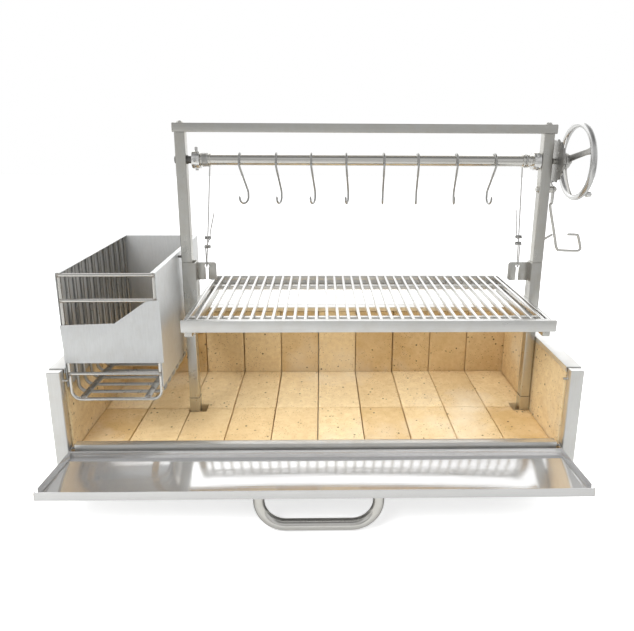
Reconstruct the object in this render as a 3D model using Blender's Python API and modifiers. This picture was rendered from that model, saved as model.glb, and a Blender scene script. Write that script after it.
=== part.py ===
"""A built-in wood-fired grill: a firebrick firebox with a drop-down front door, a grate that a
hand winch lifts on two steel cables, a hanging-hook bar and a firewood basket.

X runs to the right, Y to the back, Z up, in metres. Heights are given above the firebrick floor,
and the hearth empty stands at that floor, FLOOR_Z above the ground.
"""

import math

import bmesh
import bpy
from mathutils import Matrix, Vector

# Firebox
FLOOR_Z = 0.085
SHEET = 0.002
GAP = 0.0003
BRICK_WIDTH = 0.115
BRICK_THICK = 0.03175
BRICK_TOP = 0.197
BRICK_JOINT = 0.001
JOINT_DEPTH = 0.002
HEARTH_HALF = 0.5745
WALL_IN = 0.5755
WALL_FRONT_Y = -0.2010
WALL_OUT = 0.607
FRONT_ROW_Y = -0.2005
HEARTH_BACK_Y = 0.2295
BACK_WALL_Y = (0.2303, 0.262)
SHELL_HALF = 0.6095
SHELL_FRONT_Y = -0.205
SHELL_BACK_Y = 0.2645
CAP_Z = 0.211
LIP_HALF = 0.574
LIP_Z = 0.1985
LIP_THICK = 0.0015
LIP_BACK_Y = 0.2295

# Front columns, sill and door
COLUMN_X = (0.5765, 0.6075)
COLUMN_Y = (-0.2253, -0.2053)
COLUMN_TOP = 0.205
SILL_HALF = 0.5655
SILL_FRONT_Y = -0.218
SILL_BACK_Y = -0.2008
SILL_TOP = 0.0246
HINGE_Y = -0.205
HINGE_Z = 0.010
HINGE_PIN_RADIUS = 0.003
EAR_HOLE_RADIUS = 0.0033
EAR_RADIUS = 0.009
DOOR_TILT = math.radians(3.6)
DOOR_HALF = 0.575
DOOR_SHEET = 0.0015
DOOR_OUTER_Z = -0.0164
DOOR_FLANGE_Z = 0.0023
DOOR_REAR_Y = -0.0213
DOOR_LIP_Y = -0.1852
LATCH_REACH = 0.174
LATCH_Y = -0.21
LATCH_RADIUS = 0.00275
NOTCH_HALF = 0.005
NOTCH_Z = -0.010
HANDLE_X = 0.003
HANDLE_Y = -0.1616
HANDLE_HALF = 0.1257
HANDLE_DROP = 0.074
HANDLE_RADIUS = 0.0118
HANDLE_BEND = 0.0565

# Posts and top beam
POST_HALF = 0.0127
POST_X = {"left": -0.3306, "right": 0.5600}
POST_Y = -0.0045
SOCKET_HALF = 0.0137
SOCKET_TOP = 0.0385
POST_TOP = 0.7314
BEAM_X = (-0.3476, 0.5782)
BEAM_Z = (0.7317, 0.7534)
BOLT_RADIUS = 0.004
BOLT_HEAD_RADIUS = 0.007
BOLT_HEAD_THICK = 0.0045

# Winch
SHAFT_Y = -0.004
SHAFT_Z = 0.6662
SHAFT_RADIUS = 0.01335
AXLE_RADIUS = 0.007
SHAFT_X = (-0.3032, 0.5433)
AXLE_X = (-0.3452, 0.6175)
BUSH_RADIUS = 0.009
BUSH_FLANGE_RADIUS = 0.011
COLLAR_RADIUS = 0.022
COLLAR_X = {"left": (-0.3036, -0.2850), "right": (0.5260, 0.5437)}
COLLAR_SCREW_RADIUS = 0.0042
COLLAR_SCREWS = {"left": (90, 0.0305), "right": (138, 0.0255)}
SPOOL_RADIUS = 0.0144
SPOOL_FLANGE_RADIUS = 0.0165
SPOOL_X = {
    "left": (-0.2846, -0.2826, -0.2630, -0.2600),
    "right": (0.5010, 0.5060, 0.5120, 0.5170),
}
CABLE_RADIUS = 0.0015
TEETH = 16
RATCHET_OUTER = 0.053
RATCHET_ROOT = 0.048
RATCHET_X = (0.583, 0.588)
RATCHET_PHASE = math.radians(-61.5)
WHEEL_X = 0.637
WHEEL_RADIUS = 0.0886
WHEEL_TUBE = 0.0074
HUB_X = (0.600, 0.618)
HUB_RADIUS = 0.0205
SPOKE_ANGLES = (159, 39, -80)
SPOKE_THICK = 0.003
SPINNER_ANGLE = math.radians(-121)

# Pawl, its lever and keeper
PIVOT_Z = 0.597
PAWL_X = (0.5835, 0.5875)
LEVER_RADIUS = 0.0033

# Grate carriage
CHANNEL_Z = (0.270, 0.4116)
CHANNEL_WALL = 0.0025
CHANNEL_Y = (-0.0205, 0.0125)
WEB_X = {"left": -0.3080, "right": 0.5440}
FLANGE_X = {"left": -0.3408, "right": 0.5676}
ARM_Y = (-0.165, 0.195)
ARM_Z = (0.2705, 0.2882)
ARM_WIDTH = 0.0165
GRATE_X = (-0.3075, 0.5430)
GRATE_Y = (-0.178, 0.218)
GRATE_Z = (0.2886, 0.3156)
FRONT_BAR_X = (-0.3122, 0.5506)
FRONT_BAR_Y = (-0.1835, -0.1770)
ANGLE_WALL = 0.003
ANGLE_LEDGE = 0.015
BAR_COUNT = 33
BAR_WIDTH = 0.007
BAR_DEPTH = 0.012
FIRST_BAR_X = -0.2807
LAST_BAR_X = 0.5252
PLATE_THICK = 0.004
CABLE_PLATE = {
    "left": (-0.3077, -0.2596, 0.3630, 0.4090, -0.2835),
    "right": (0.4904, 0.5437, 0.3614, 0.4096, 0.5145),
}
KEYHOLE_RADIUS = 0.0055
KEYHOLE_Z = 0.399
SLOT_HALF = 0.0035
CABLE_END_Z = 0.4865
CABLE_TOP_X = {"left": -0.2655, "right": 0.5088}
CABLE_END_X = {"left": -0.2777, "right": 0.5127}
TAIL_TOP = {"left": (-0.2640, 0.0175, 0.527), "right": (0.5055, 0.0175, 0.536)}
TAIL_KNEE = (0.0165, 0.014)
CLIP_Z = {"left": (0.448, 0.471), "right": (0.4576, 0.4746)}

# Hooks
HOOK_X = (-0.1900, -0.1015, -0.0163, 0.0690, 0.1610, 0.2446, 0.3395, 0.4337)
HOOK_WIRE = 0.0025
HOOK_CLEAR = 0.0006
HOOK_BOTTOM = 0.5600
HOOK_J_RADIUS = 0.0145
HOOK_J_Y = 0.0
HOOK_TWIST = (40, 20, 23, 15, 7, 10, 9, -8)
HOOK_LEAN = (0.007, 0.0055, 0.0035, 0.003, 0.0, 0.0, 0.0, -0.006)

# Firewood basket
BASKET_X = (-0.573, -0.354)
BASKET_TOP = 0.4345
BASKET_SHEET = 0.002
ROD_RADIUS = 0.004
ROD_COUNT = 12
ROD_Y = (-0.1975, 0.2195)
ROD_BOTTOM_Z = 0.131
ROD_BEND = 0.022
SIDE_BOTTOM_Z = 0.163
SIDE_FLANGE = 0.012
BACK_PLATE_Y = 0.2248
STRIP_X = (-0.541, -0.393)
STRIP_HALF = 0.008
FRONT_BAR_HEIGHTS = (0.4285, 0.3700, 0.1950)

# Colour, roughness and metallic value of each finish.
FINISHES = {
    "stainless": ((0.62, 0.61, 0.59), 0.32, 1.0),
    "polished": ((0.78, 0.78, 0.77), 0.12, 1.0),
    "dark_steel": ((0.16, 0.16, 0.16), 0.45, 1.0),
    "firebrick": ((0.78, 0.60, 0.38), 0.92, 0.0),
    "board": ((0.70, 0.68, 0.62), 0.95, 0.0),
}

for leftover in list(bpy.data.objects):
    bpy.data.objects.remove(leftover)

PARTS = bpy.data.collections.new("wood_fired_grill")
CUTTERS = bpy.data.collections.new("cutters")
bpy.context.scene.collection.children.link(PARTS)
bpy.context.scene.collection.children.link(CUTTERS)


# Shapes


def new_object(name, data):
    made = bpy.data.objects.new(name, data)
    CUTTERS.objects.link(made)
    return made


def boxes(corners):
    """One mesh of axis-aligned boxes, each given by its low and high corner."""
    shape = bmesh.new()
    for low, high in corners:
        size = [b - a for a, b in zip(low, high)]
        middle = [(a + b) / 2 for a, b in zip(low, high)]
        place = Matrix.Translation(middle) @ Matrix.Diagonal((*size, 1))
        bmesh.ops.create_cube(shape, size=1, matrix=place)
    mesh = bpy.data.meshes.new("boxes")
    shape.to_mesh(mesh)
    shape.free()
    return new_object("boxes", mesh)


def box(low, high, bevel=0.0):
    made = boxes([(low, high)])
    if bevel:
        rounding = made.modifiers.new("Edges", "BEVEL")
        rounding.width = bevel
        rounding.segments = 1
    return made


def rod(start, end, radius, sides=16):
    """A cylinder from one point to another."""
    start = Vector(start)
    run = Vector(end) - start
    shape = bmesh.new()
    bmesh.ops.create_cone(
        shape, cap_ends=True, segments=sides, radius1=radius, radius2=radius, depth=run.length
    )
    mesh = bpy.data.meshes.new("rod")
    shape.to_mesh(mesh)
    shape.free()
    made = new_object("rod", mesh)
    made.rotation_mode = "QUATERNION"
    made.rotation_quaternion = Vector((0, 0, 1)).rotation_difference(run)
    made.location = start + run / 2
    return made


def tube(points, radius, cyclic=False):
    """A bent wire or tube along the points."""
    curve = bpy.data.curves.new("tube", "CURVE")
    curve.dimensions = "3D"
    curve.bevel_depth = radius
    curve.bevel_resolution = 2
    curve.use_fill_caps = True
    path = curve.splines.new("POLY")
    path.points.add(len(points) - 1)
    for point, place in zip(path.points, points):
        point.co = (*place, 1)
    path.use_cyclic_u = cyclic
    return new_object("tube", curve)


# Which way a flat outline's two directions and its thickness point, for each normal.
FACING = {
    "x": (math.pi / 2, 0, math.pi / 2),
    "y": (math.pi / 2, 0, 0),
    "z": (0, 0, 0),
}


def plate(loops, normal, low, high):
    """A flat outline, with holes after its outer loop, extruded from low to high along its normal.

    The outline's directions are Y and Z for normal x, X and Z for normal y, X and Y for normal z.
    """
    curve = bpy.data.curves.new("plate", "CURVE")
    curve.dimensions = "2D"
    curve.fill_mode = "BOTH"
    curve.extrude = (high - low) / 2
    for loop in loops:
        path = curve.splines.new("POLY")
        path.points.add(len(loop) - 1)
        for point, place in zip(path.points, loop):
            point.co = (*place, 0, 1)
        path.use_cyclic_u = True
    made = new_object("plate", curve)
    made.rotation_euler = FACING[normal]
    made.location["xyz".index(normal)] = (low + high) / 2
    return made


def turned(profile, sides=32, ring=False):
    """A profile of (X, radius) points turned about the X axis. A ring's profile is a closed loop."""
    area = sum(
        a[1] * b[0] - b[1] * a[0] for a, b in zip(profile, [*profile[1:], profile[0]])
    )
    if area > 0:
        profile = profile[::-1]
    mesh = bpy.data.meshes.new("turned")
    edges = [(i, i + 1) for i in range(len(profile) - 1)]
    if ring:
        edges.append((len(profile) - 1, 0))
    mesh.from_pydata([(radius, 0, x) for x, radius in profile], edges, [])
    made = new_object("turned", mesh)
    screw = made.modifiers.new("Turn", "SCREW")
    screw.steps = sides
    screw.render_steps = sides
    screw.use_merge_vertices = True
    screw.merge_threshold = 1e-6
    made.rotation_euler = (0, math.pi / 2, 0)
    return made


def together(pieces):
    """One mesh object of pieces that don't touch each other, with curves made into meshes."""
    bpy.context.view_layer.update()
    graph = bpy.context.evaluated_depsgraph_get()
    shape = bmesh.new()
    for piece in pieces:
        mesh = bpy.data.meshes.new_from_object(piece.evaluated_get(graph))
        mesh.transform(piece.matrix_world)
        shape.from_mesh(mesh)
    for piece in pieces:
        bpy.data.objects.remove(piece)
    bmesh.ops.remove_doubles(shape, verts=shape.verts, dist=1e-6)
    mesh = bpy.data.meshes.new("together")
    shape.to_mesh(mesh)
    shape.free()
    return new_object("together", mesh)


def combine(base, tool, operation):
    if tool.type == "CURVE" or tool.modifiers:
        tool = together([tool])
    tool.display_type = "WIRE"
    tool.hide_render = True
    step = base.modifiers.new(operation.title(), "BOOLEAN")
    step.operation = operation
    step.solver = "EXACT"
    step.object = tool
    tool.parent = base
    tool.matrix_parent_inverse = base.matrix_basis.inverted()


def join(base, *tools):
    base = together([base])
    for tool in tools:
        combine(base, tool, "UNION")
    return base


def cut(base, *tools):
    if base.type == "CURVE" or base.modifiers:
        base = together([base])
    for tool in tools:
        combine(base, tool, "DIFFERENCE")
    return base


def node(name, made, finish, parent):
    """Names a shape, gives it its own material and puts it in the model under its parent."""
    colour, roughness, metallic = FINISHES[finish]
    skin = bpy.data.materials.new(f"{name}_{finish}")
    skin.use_nodes = True
    shader = skin.node_tree.nodes["Principled BSDF"]
    shader.inputs["Base Color"].default_value = (*colour, 1)
    shader.inputs["Roughness"].default_value = roughness
    shader.inputs["Metallic"].default_value = metallic
    made.data.materials.clear()
    made.data.materials.append(skin)
    made.name = name
    made.parent = parent
    CUTTERS.objects.unlink(made)
    PARTS.objects.link(made)
    return made


def empty(name, place, parent=None, rotation=(0, 0, 0)):
    made = bpy.data.objects.new(name, None)
    PARTS.objects.link(made)
    made.location = place
    made.rotation_euler = rotation
    made.parent = parent
    return made


def arc(centre, radius, start, end, steps):
    """Points of an arc, from one angle in degrees to another."""
    turns = [math.radians(start + (end - start) * i / steps) for i in range(steps + 1)]
    return [(centre[0] + radius * math.cos(a), centre[1] + radius * math.sin(a)) for a in turns]


def mirrored(side, low, high):
    """An X range on the right, or the same range on the left."""
    return (low, high) if side == "right" else (-high, -low)


# Firebox


def post_notches(margins_y, low_z, high_z, inner=0.0023, outer=0.003):
    """Boxes round both post sockets. The inner side is the one towards the grate."""
    found = []
    for side, towards in (("left", 1), ("right", -1)):
        middle = POST_X[side]
        near = middle + towards * (SOCKET_HALF + inner)
        far = middle - towards * (SOCKET_HALF + outer)
        found.append(((min(near, far), margins_y[0], low_z), (max(near, far), margins_y[1], high_z)))
    return boxes(found)


def firebox_shell():
    bottom = -FLOOR_Z
    outer = box((-SHELL_HALF, SHELL_FRONT_Y, bottom), (SHELL_HALF, SHELL_BACK_Y, CAP_Z))
    wall = SHELL_HALF - SHEET
    inside = box((-wall, -1, bottom + SHEET), (wall, SHELL_BACK_Y - SHEET, CAP_Z - SHEET))
    mouth = box((-LIP_HALF, -1, 0), (LIP_HALF, LIP_BACK_Y, 1))
    lip_out = LIP_HALF + LIP_THICK
    rim = cut(
        box((-lip_out, SHELL_FRONT_Y, LIP_Z), (lip_out, LIP_BACK_Y + LIP_THICK, CAP_Z - SHEET / 2)),
        box((-LIP_HALF - GAP / 3, -1, -1), (LIP_HALF + GAP / 3, LIP_BACK_Y + GAP / 3, 1)),
    )
    return join(cut(outer, inside, mouth), together([rim]))


def floor_bricks(low_y, high_y):
    slab = box((-HEARTH_HALF, low_y, -BRICK_THICK), (HEARTH_HALF, high_y, 0))
    half = BRICK_JOINT / 2
    joints = [
        ((i * BRICK_WIDTH - half, -1, -JOINT_DEPTH), (i * BRICK_WIDTH + half, 1, 1))
        for i in range(-4, 5)
    ]
    notches = post_notches((-0.0185, 0.022), -1, 1, inner=0.016)
    return cut(slab, boxes(joints), notches)


def back_wall_bricks():
    front, back = BACK_WALL_Y
    slab = box((-WALL_OUT, front, -BRICK_THICK), (WALL_OUT, back, BRICK_TOP))
    half = BRICK_JOINT / 2
    joints = [
        ((i * BRICK_WIDTH - half, -1, -1), (i * BRICK_WIDTH + half, front + JOINT_DEPTH, 1))
        for i in range(-4, 5)
    ]
    return cut(slab, boxes(joints))


def side_wall_bricks(side):
    low, high = mirrored(side, WALL_IN, WALL_OUT)
    joint = mirrored(side, 0, WALL_IN + JOINT_DEPTH)
    slab = box((low, WALL_FRONT_Y, -BRICK_THICK), (high, HEARTH_BACK_Y, BRICK_TOP))
    half = BRICK_JOINT / 2
    return cut(slab, box((joint[0], 0.0005 - half, -1), (joint[1], 0.0005 + half, 1)))


def insulation_board():
    board = box(
        (-WALL_OUT, -0.200, -FLOOR_Z + SHEET + GAP),
        (WALL_OUT, BACK_WALL_Y[1], -BRICK_THICK - GAP),
    )
    return cut(board, post_notches((-0.0195, 0.0105), -1, 1, inner=0.001, outer=0.001))


def sill_plate():
    """An upside-down channel: its rear leg stands on the shell and holds the bricks."""
    leg = 0.0017
    bottom = -FLOOR_Z + SHEET + GAP
    outline = [
        (SILL_FRONT_Y, bottom),
        (SILL_FRONT_Y + SHEET, bottom),
        (SILL_FRONT_Y + SHEET, SILL_TOP - SHEET),
        (SILL_BACK_Y - leg, SILL_TOP - SHEET),
        (SILL_BACK_Y - leg, bottom),
        (SILL_BACK_Y, bottom),
        (SILL_BACK_Y, SILL_TOP),
        (SILL_FRONT_Y, SILL_TOP),
    ]
    return plate([outline], "x", -SILL_HALF, SILL_HALF)


def front_column(side):
    low, high = mirrored(side, *COLUMN_X)
    column = box((low, COLUMN_Y[0], -FLOOR_Z), (high, COLUMN_Y[1], COLUMN_TOP), bevel=0.0012)
    pin = mirrored(side, COLUMN_X[0] - 0.0100, COLUMN_X[0] + 0.0030)
    height = HINGE_Z + LATCH_REACH
    return join(column, rod((pin[0], LATCH_Y, height), (pin[1], LATCH_Y, height), LATCH_RADIUS, 12))


def hinge_pin(side):
    low, high = mirrored(side, COLUMN_X[0] - 0.0095, COLUMN_X[0] - GAP)
    return rod((low, HINGE_Y, HINGE_Z), (high, HINGE_Y, HINGE_Z), HINGE_PIN_RADIUS, 12)


# Door, in the frame of its hinge: it points to -Y, and its outer face is below


def door_panel():
    ear = arc((0, 0), EAR_RADIUS, -90, 90, 8)
    outline = [
        (DOOR_LIP_Y, DOOR_OUTER_Z),
        (DOOR_REAR_Y, DOOR_OUTER_Z),
        *ear,
        (DOOR_REAR_Y, DOOR_FLANGE_Z),
        (DOOR_LIP_Y, DOOR_FLANGE_Z),
    ]
    inner = DOOR_HALF - DOOR_SHEET
    tray = box(
        (-inner, DOOR_LIP_Y + DOOR_SHEET, DOOR_OUTER_Z + DOOR_SHEET),
        (inner, DOOR_REAR_Y - DOOR_SHEET, 1),
    )
    between_ears = box((-inner, DOOR_REAR_Y, -1), (inner, 1, 1))
    holes = rod((-1, 0, 0), (1, 0, 0), EAR_HOLE_RADIUS, 16)
    notches = box((-1, -LATCH_REACH - NOTCH_HALF, NOTCH_Z), (1, -LATCH_REACH + NOTCH_HALF, 1))
    return cut(plate([outline], "x", -DOOR_HALF, DOOR_HALF), tray, between_ears, holes, notches)


def door_handle():
    top = DOOR_OUTER_Z - GAP
    low = DOOR_OUTER_Z - HANDLE_DROP
    inner = HANDLE_HALF - HANDLE_BEND
    left = arc((-inner, low + HANDLE_BEND), HANDLE_BEND, 180, 270, 6)
    right = arc((inner, low + HANDLE_BEND), HANDLE_BEND, 270, 360, 6)
    path = [(-HANDLE_HALF, top), *left, *right, (HANDLE_HALF, top)]
    return tube([(HANDLE_X + x, HANDLE_Y, z) for x, z in path], HANDLE_RADIUS)


# Posts, beam and what is fixed to them


def post_socket(side):
    x = POST_X[side]
    low = (x - SOCKET_HALF, POST_Y - SOCKET_HALF, -FLOOR_Z + SHEET + GAP)
    high = (x + SOCKET_HALF, POST_Y + SOCKET_HALF, SOCKET_TOP)
    return box(low, high, bevel=0.001)


def post(side):
    x = POST_X[side]
    low = (x - POST_HALF, POST_Y - POST_HALF, SOCKET_TOP + GAP)
    high = (x + POST_HALF, POST_Y + POST_HALF, POST_TOP)
    across = (x - 1, x + 1)
    bush_hole = rod((across[0], SHAFT_Y, SHAFT_Z), (across[1], SHAFT_Y, SHAFT_Z), BUSH_RADIUS + GAP)
    bolt_hole = rod((x, POST_Y, POST_TOP - 0.020), (x, POST_Y, 1), BOLT_RADIUS + GAP, 12)
    made = cut(box(low, high, bevel=0.0015), bush_hole, bolt_hole)
    if side == "right":
        pivot = rod((across[0], SHAFT_Y, PIVOT_Z), (across[1], SHAFT_Y, PIVOT_Z), BOLT_RADIUS + GAP)
        made = cut(made, pivot)
    return made


def top_beam():
    low = (BEAM_X[0], POST_Y - POST_HALF, BEAM_Z[0])
    high = (BEAM_X[1], POST_Y + POST_HALF, BEAM_Z[1])
    holes = [rod((x, POST_Y, 0), (x, POST_Y, 1), BOLT_RADIUS + GAP, 12) for x in POST_X.values()]
    return cut(box(low, high, bevel=0.0012), *holes)


def beam_bolt(side):
    x = POST_X[side]
    top = BEAM_Z[1] + GAP
    head = rod((x, POST_Y, top), (x, POST_Y, top + BOLT_HEAD_THICK), BOLT_HEAD_RADIUS, 6)
    shank = rod((x, POST_Y, top - 0.038), (x, POST_Y, top + 0.002), BOLT_RADIUS, 12)
    return join(head, shank)


def bearing_bush(side):
    """A flanged bush that carries the shaft's axle in its post."""
    middle = POST_X[side]
    towards = 1 if side == "left" else -1
    face = middle + towards * (POST_HALF + GAP)
    nose = {"left": -0.3062, "right": 0.5448}[side]
    end = middle - towards * (POST_HALF + 0.0033)
    bore = AXLE_RADIUS + GAP
    edge = face + towards * 0.0025
    profile = [(end, bore), (end, BUSH_RADIUS), (face, BUSH_RADIUS), (face, BUSH_FLANGE_RADIUS)]
    if abs(nose - face) > 0.003:
        profile += [(edge, BUSH_FLANGE_RADIUS), (edge, BUSH_RADIUS), (nose, BUSH_RADIUS)]
    else:
        profile += [(nose, BUSH_FLANGE_RADIUS)]
    made = turned([*profile, (nose, bore)], 24, ring=True)
    made.location = (0, SHAFT_Y, SHAFT_Z)
    return made


def pawl_pivot_bolt():
    x = POST_X["right"] - POST_HALF - GAP
    head = rod((x - BOLT_HEAD_THICK, SHAFT_Y, PIVOT_Z), (x, SHAFT_Y, PIVOT_Z), BOLT_HEAD_RADIUS, 6)
    shank = rod((x - 0.002, SHAFT_Y, PIVOT_Z), (0.592, SHAFT_Y, PIVOT_Z), BOLT_RADIUS, 16)
    return join(head, shank)


def lever_keeper():
    start = (POST_X["right"] + POST_HALF + 0.0016, 0.003, 0.4669)
    return rod(start, (0.603, 0.016, 0.4785), 0.003, 12)


def basket_peg():
    face = POST_X["left"] - POST_HALF - GAP
    return rod((BASKET_X[1] + 0.0010, -0.010, 0.426), (face, -0.010, 0.426), 0.003, 12)


# Winch, in the frame of its axis


def winch_shaft():
    return turned(
        [
            (AXLE_X[0], 0),
            (AXLE_X[0], AXLE_RADIUS),
            (SHAFT_X[0], AXLE_RADIUS),
            (SHAFT_X[0], SHAFT_RADIUS),
            (SHAFT_X[1], SHAFT_RADIUS),
            (SHAFT_X[1], AXLE_RADIUS),
            (AXLE_X[1], AXLE_RADIUS),
            (AXLE_X[1], 0),
        ],
        24,
    )


def shaft_collar(side):
    low, high = COLLAR_X[side]
    bore = SHAFT_RADIUS + GAP
    profile = [(low, bore), (low, COLLAR_RADIUS), (high, COLLAR_RADIUS), (high, bore)]
    ring = turned(profile, 32, ring=True)
    middle = (low + high) / 2
    first, tallest = COLLAR_SCREWS[side]
    screws = []
    for quarter, far in enumerate((tallest, 0.0255, 0.0255, 0.0255)):
        turn = math.radians(first + 90 * quarter)
        y, z = math.cos(turn), math.sin(turn)
        start, end = (middle, y * 0.0175, z * 0.0175), (middle, y * far, z * far)
        screws.append(rod(start, end, COLLAR_SCREW_RADIUS, 12))
    return join(ring, together(screws))


def cable_spool(side):
    a, b, c, d = SPOOL_X[side]
    bore = SHAFT_RADIUS + GAP
    return turned(
        [
            (a, bore),
            (a, SPOOL_FLANGE_RADIUS),
            (b, SPOOL_FLANGE_RADIUS),
            (b, SPOOL_RADIUS),
            (c, SPOOL_RADIUS),
            (c, SPOOL_FLANGE_RADIUS),
            (d, SPOOL_FLANGE_RADIUS),
            (d, bore),
        ],
        24,
        ring=True,
    )


def ratchet_wheel():
    """Saw teeth: the steep face of each one stops the shaft from letting the grate down."""
    pitch = 2 * math.pi / TEETH
    outline = []
    for tooth in range(TEETH):
        turn = RATCHET_PHASE + tooth * pitch
        for radius in (RATCHET_ROOT, RATCHET_OUTER):
            outline.append((radius * math.cos(turn), radius * math.sin(turn)))
    bore = arc((0, 0), AXLE_RADIUS + GAP, 0, 345, 23)
    return plate([outline, bore], "x", *RATCHET_X)


def handwheel():
    hub = rod((HUB_X[0], 0, 0), (HUB_X[1], 0, 0), HUB_RADIUS, 24)
    start = Vector((0.611, 0.010))
    run = Vector((WHEEL_X, WHEEL_RADIUS)) - start
    spokes = []
    for angle in SPOKE_ANGLES:
        spoke = plate(
            [[(0, -0.0085), (run.length, -0.0065), (run.length, 0.0065), (0, 0.0085)]],
            "z",
            -SPOKE_THICK / 2,
            SPOKE_THICK / 2,
        )
        out = Vector((0, math.cos(math.radians(angle)), math.sin(math.radians(angle))))
        along = (Vector((run.x, 0, 0)) + out * run.y).normalized()
        across = Vector((1, 0, 0)).cross(out)
        frame = Matrix((along, across, along.cross(across))).transposed()
        spoke.matrix_world = Matrix.Translation(Vector((start.x, 0, 0)) + out * start.y) @ frame.to_4x4()
        spokes.append(spoke)
    circle = arc((0, 0), WHEEL_RADIUS, 0, 350, 35)
    rim = tube([(WHEEL_X, y, z) for y, z in circle], WHEEL_TUBE, cyclic=True)
    bore = rod((0.5, 0, 0), (0.7, 0, 0), AXLE_RADIUS + GAP, 24)
    return cut(together([join(hub, together(spokes), rim)]), bore)


def wheel_spinner():
    base = WHEEL_X + WHEEL_TUBE + GAP
    neck = [(0, 0), (0, 0.005), (0.002, 0.0065)]
    grip = [(0.010, 0.0075), (0.014, 0.0065), (0.0155, 0.003), (0.0155, 0)]
    made = turned([*neck, *grip], 16)
    made.location = (
        base,
        WHEEL_RADIUS * math.cos(SPINNER_ANGLE),
        WHEEL_RADIUS * math.sin(SPINNER_ANGLE),
    )
    return made


# Pawl and lever, in the frame of the pivot


def ratchet_pawl():
    outline = [
        (-0.005, -0.0355),
        (0.005, -0.0355),
        (0.0062, -0.0070),
        (0.0085, 0.0005),
        (0.0270, 0.01975),
        (0.0250, 0.0220),
        (0.0040, 0.0085),
        *arc((0, 0), 0.0088, 100, 215, 6),
    ]
    bore = arc((0, 0), BOLT_RADIUS + GAP, 0, 340, 17)
    return plate([outline, bore], "x", *PAWL_X)


def pawl_lever():
    route = [
        (0.5835, 0.5612),
        (0.5835, 0.5500),
        (0.5990, 0.4880),
        (0.6040, 0.4675),
        (0.6075, 0.4530),
        (0.6120, 0.4445),
        (0.6180, 0.4418),
        (0.6600, 0.4400),
        (0.6685, 0.4425),
        (0.6705, 0.4490),
        (0.6620, 0.4780),
        (0.6566, 0.4820),
        (0.6333, 0.4830),
    ]
    return tube([(x, 0, z - PIVOT_Z) for x, z in route], LEVER_RADIUS)


# Grate carriage


def carriage_channel(side):
    """A channel that slides on its post, with the arm under the grate welded to its web."""
    out = -1 if side == "left" else 1
    web, end = WEB_X[side], FLANGE_X[side]
    back = web + out * (CHANNEL_WALL if side == "left" else 0.0022)
    front_y, back_y = CHANNEL_Y
    outline = [
        (web, front_y),
        (web, back_y),
        (end, back_y),
        (end, back_y - CHANNEL_WALL),
        (back, back_y - CHANNEL_WALL),
        (back, front_y + CHANNEL_WALL),
        (end, front_y + CHANNEL_WALL),
        (end, front_y),
    ]
    arm_x = sorted((web + out * 0.0012, web - out * ARM_WIDTH))
    arm = box((arm_x[0], ARM_Y[0], ARM_Z[0]), (arm_x[1], ARM_Y[1], ARM_Z[1]))
    return join(plate([outline], "z", *CHANNEL_Z), arm)


def cable_plate(side):
    """A lug with a keyhole, open at its lower edge, for the end of the cable."""
    left, right, low, high, hole = CABLE_PLATE[side]
    corner = 0.006
    turn = math.degrees(math.asin(SLOT_HALF / KEYHOLE_RADIUS))
    keyhole = arc((hole, KEYHOLE_Z), KEYHOLE_RADIUS, -90 - turn, -450 + turn, 16)
    rounded_left = side == "right"
    outline = [(hole - SLOT_HALF, low), *keyhole, (hole + SLOT_HALF, low)]
    if rounded_left:
        outline += [(right, low), (right, high)]
        outline += arc((left + corner, high - corner), corner, 90, 180, 4)
        outline += arc((left + corner, low + corner), corner, 180, 270, 4)
    else:
        outline += arc((right - corner, low + corner), corner, 270, 360, 4)
        outline += arc((right - corner, high - corner), corner, 0, 90, 4)
        outline += [(left, high), (left, low)]
    return plate([outline], "y", -PLATE_THICK / 2, PLATE_THICK / 2)


def cable_clips(side):
    """The cable's looped end and spare tail, held by two wire rope clips."""
    hole = CABLE_PLATE[side][4]
    end_x = CABLE_END_X[side]
    lower, upper = CLIP_Z[side]
    bend = [(y, z + KEYHOLE_Z) for y, z in arc((0, 0.003), 0.0048, 180, 360, 8)]
    loop = [(hole, -0.0048, lower), *[(hole, y, z) for y, z in bend]]
    loop += [(hole, 0.0048, 0.414), (end_x, 0.0052, CABLE_END_Z - GAP)]
    knee_y, rise = TAIL_KNEE
    middle = (hole + TAIL_TOP[side][0]) / 2
    held = [(hole, 0.0005, lower), (middle, 0.0070, upper)]
    tail = [*held, (middle, knee_y, upper + rise), TAIL_TOP[side]]
    blocks = []
    for height in (lower, upper):
        x = hole + (end_x - hole) * (height - 0.414) / (CABLE_END_Z - 0.414)
        blocks.append(((x - 0.0075, -0.0068, height - 0.004), (x + 0.0085, 0.0090, height + 0.004)))
    return join(tube(loop, CABLE_RADIUS), tube(tail, CABLE_RADIUS), boxes(blocks))


def lift_cable(side):
    top = (CABLE_TOP_X[side], SHAFT_Y + SPOOL_RADIUS + CABLE_RADIUS + GAP, SHAFT_Z)
    return tube([top, (CABLE_END_X[side], 0.0052, CABLE_END_Z)], CABLE_RADIUS)


def grate_frame():
    """Angle iron all round, and a deeper front bar that runs past both sides."""
    low = (GRATE_X[0], GRATE_Y[0], GRATE_Z[0])
    high = (GRATE_X[1], GRATE_Y[1], GRATE_Z[1])
    wall, ledge = ANGLE_WALL, ANGLE_LEDGE
    seat = box(
        (low[0] + wall, low[1] + wall, low[2] + wall), (high[0] - wall, high[1] - wall, 1)
    )
    window = box((low[0] + ledge, low[1] + ledge, 0), (high[0] - ledge, high[1] - ledge, 1))
    front = box(
        (FRONT_BAR_X[0], FRONT_BAR_Y[0], GRATE_Z[0] - GAP),
        (FRONT_BAR_X[1], FRONT_BAR_Y[1], GRATE_Z[1] + GAP),
    )
    return join(cut(box(low, high), seat, window), front)


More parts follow.
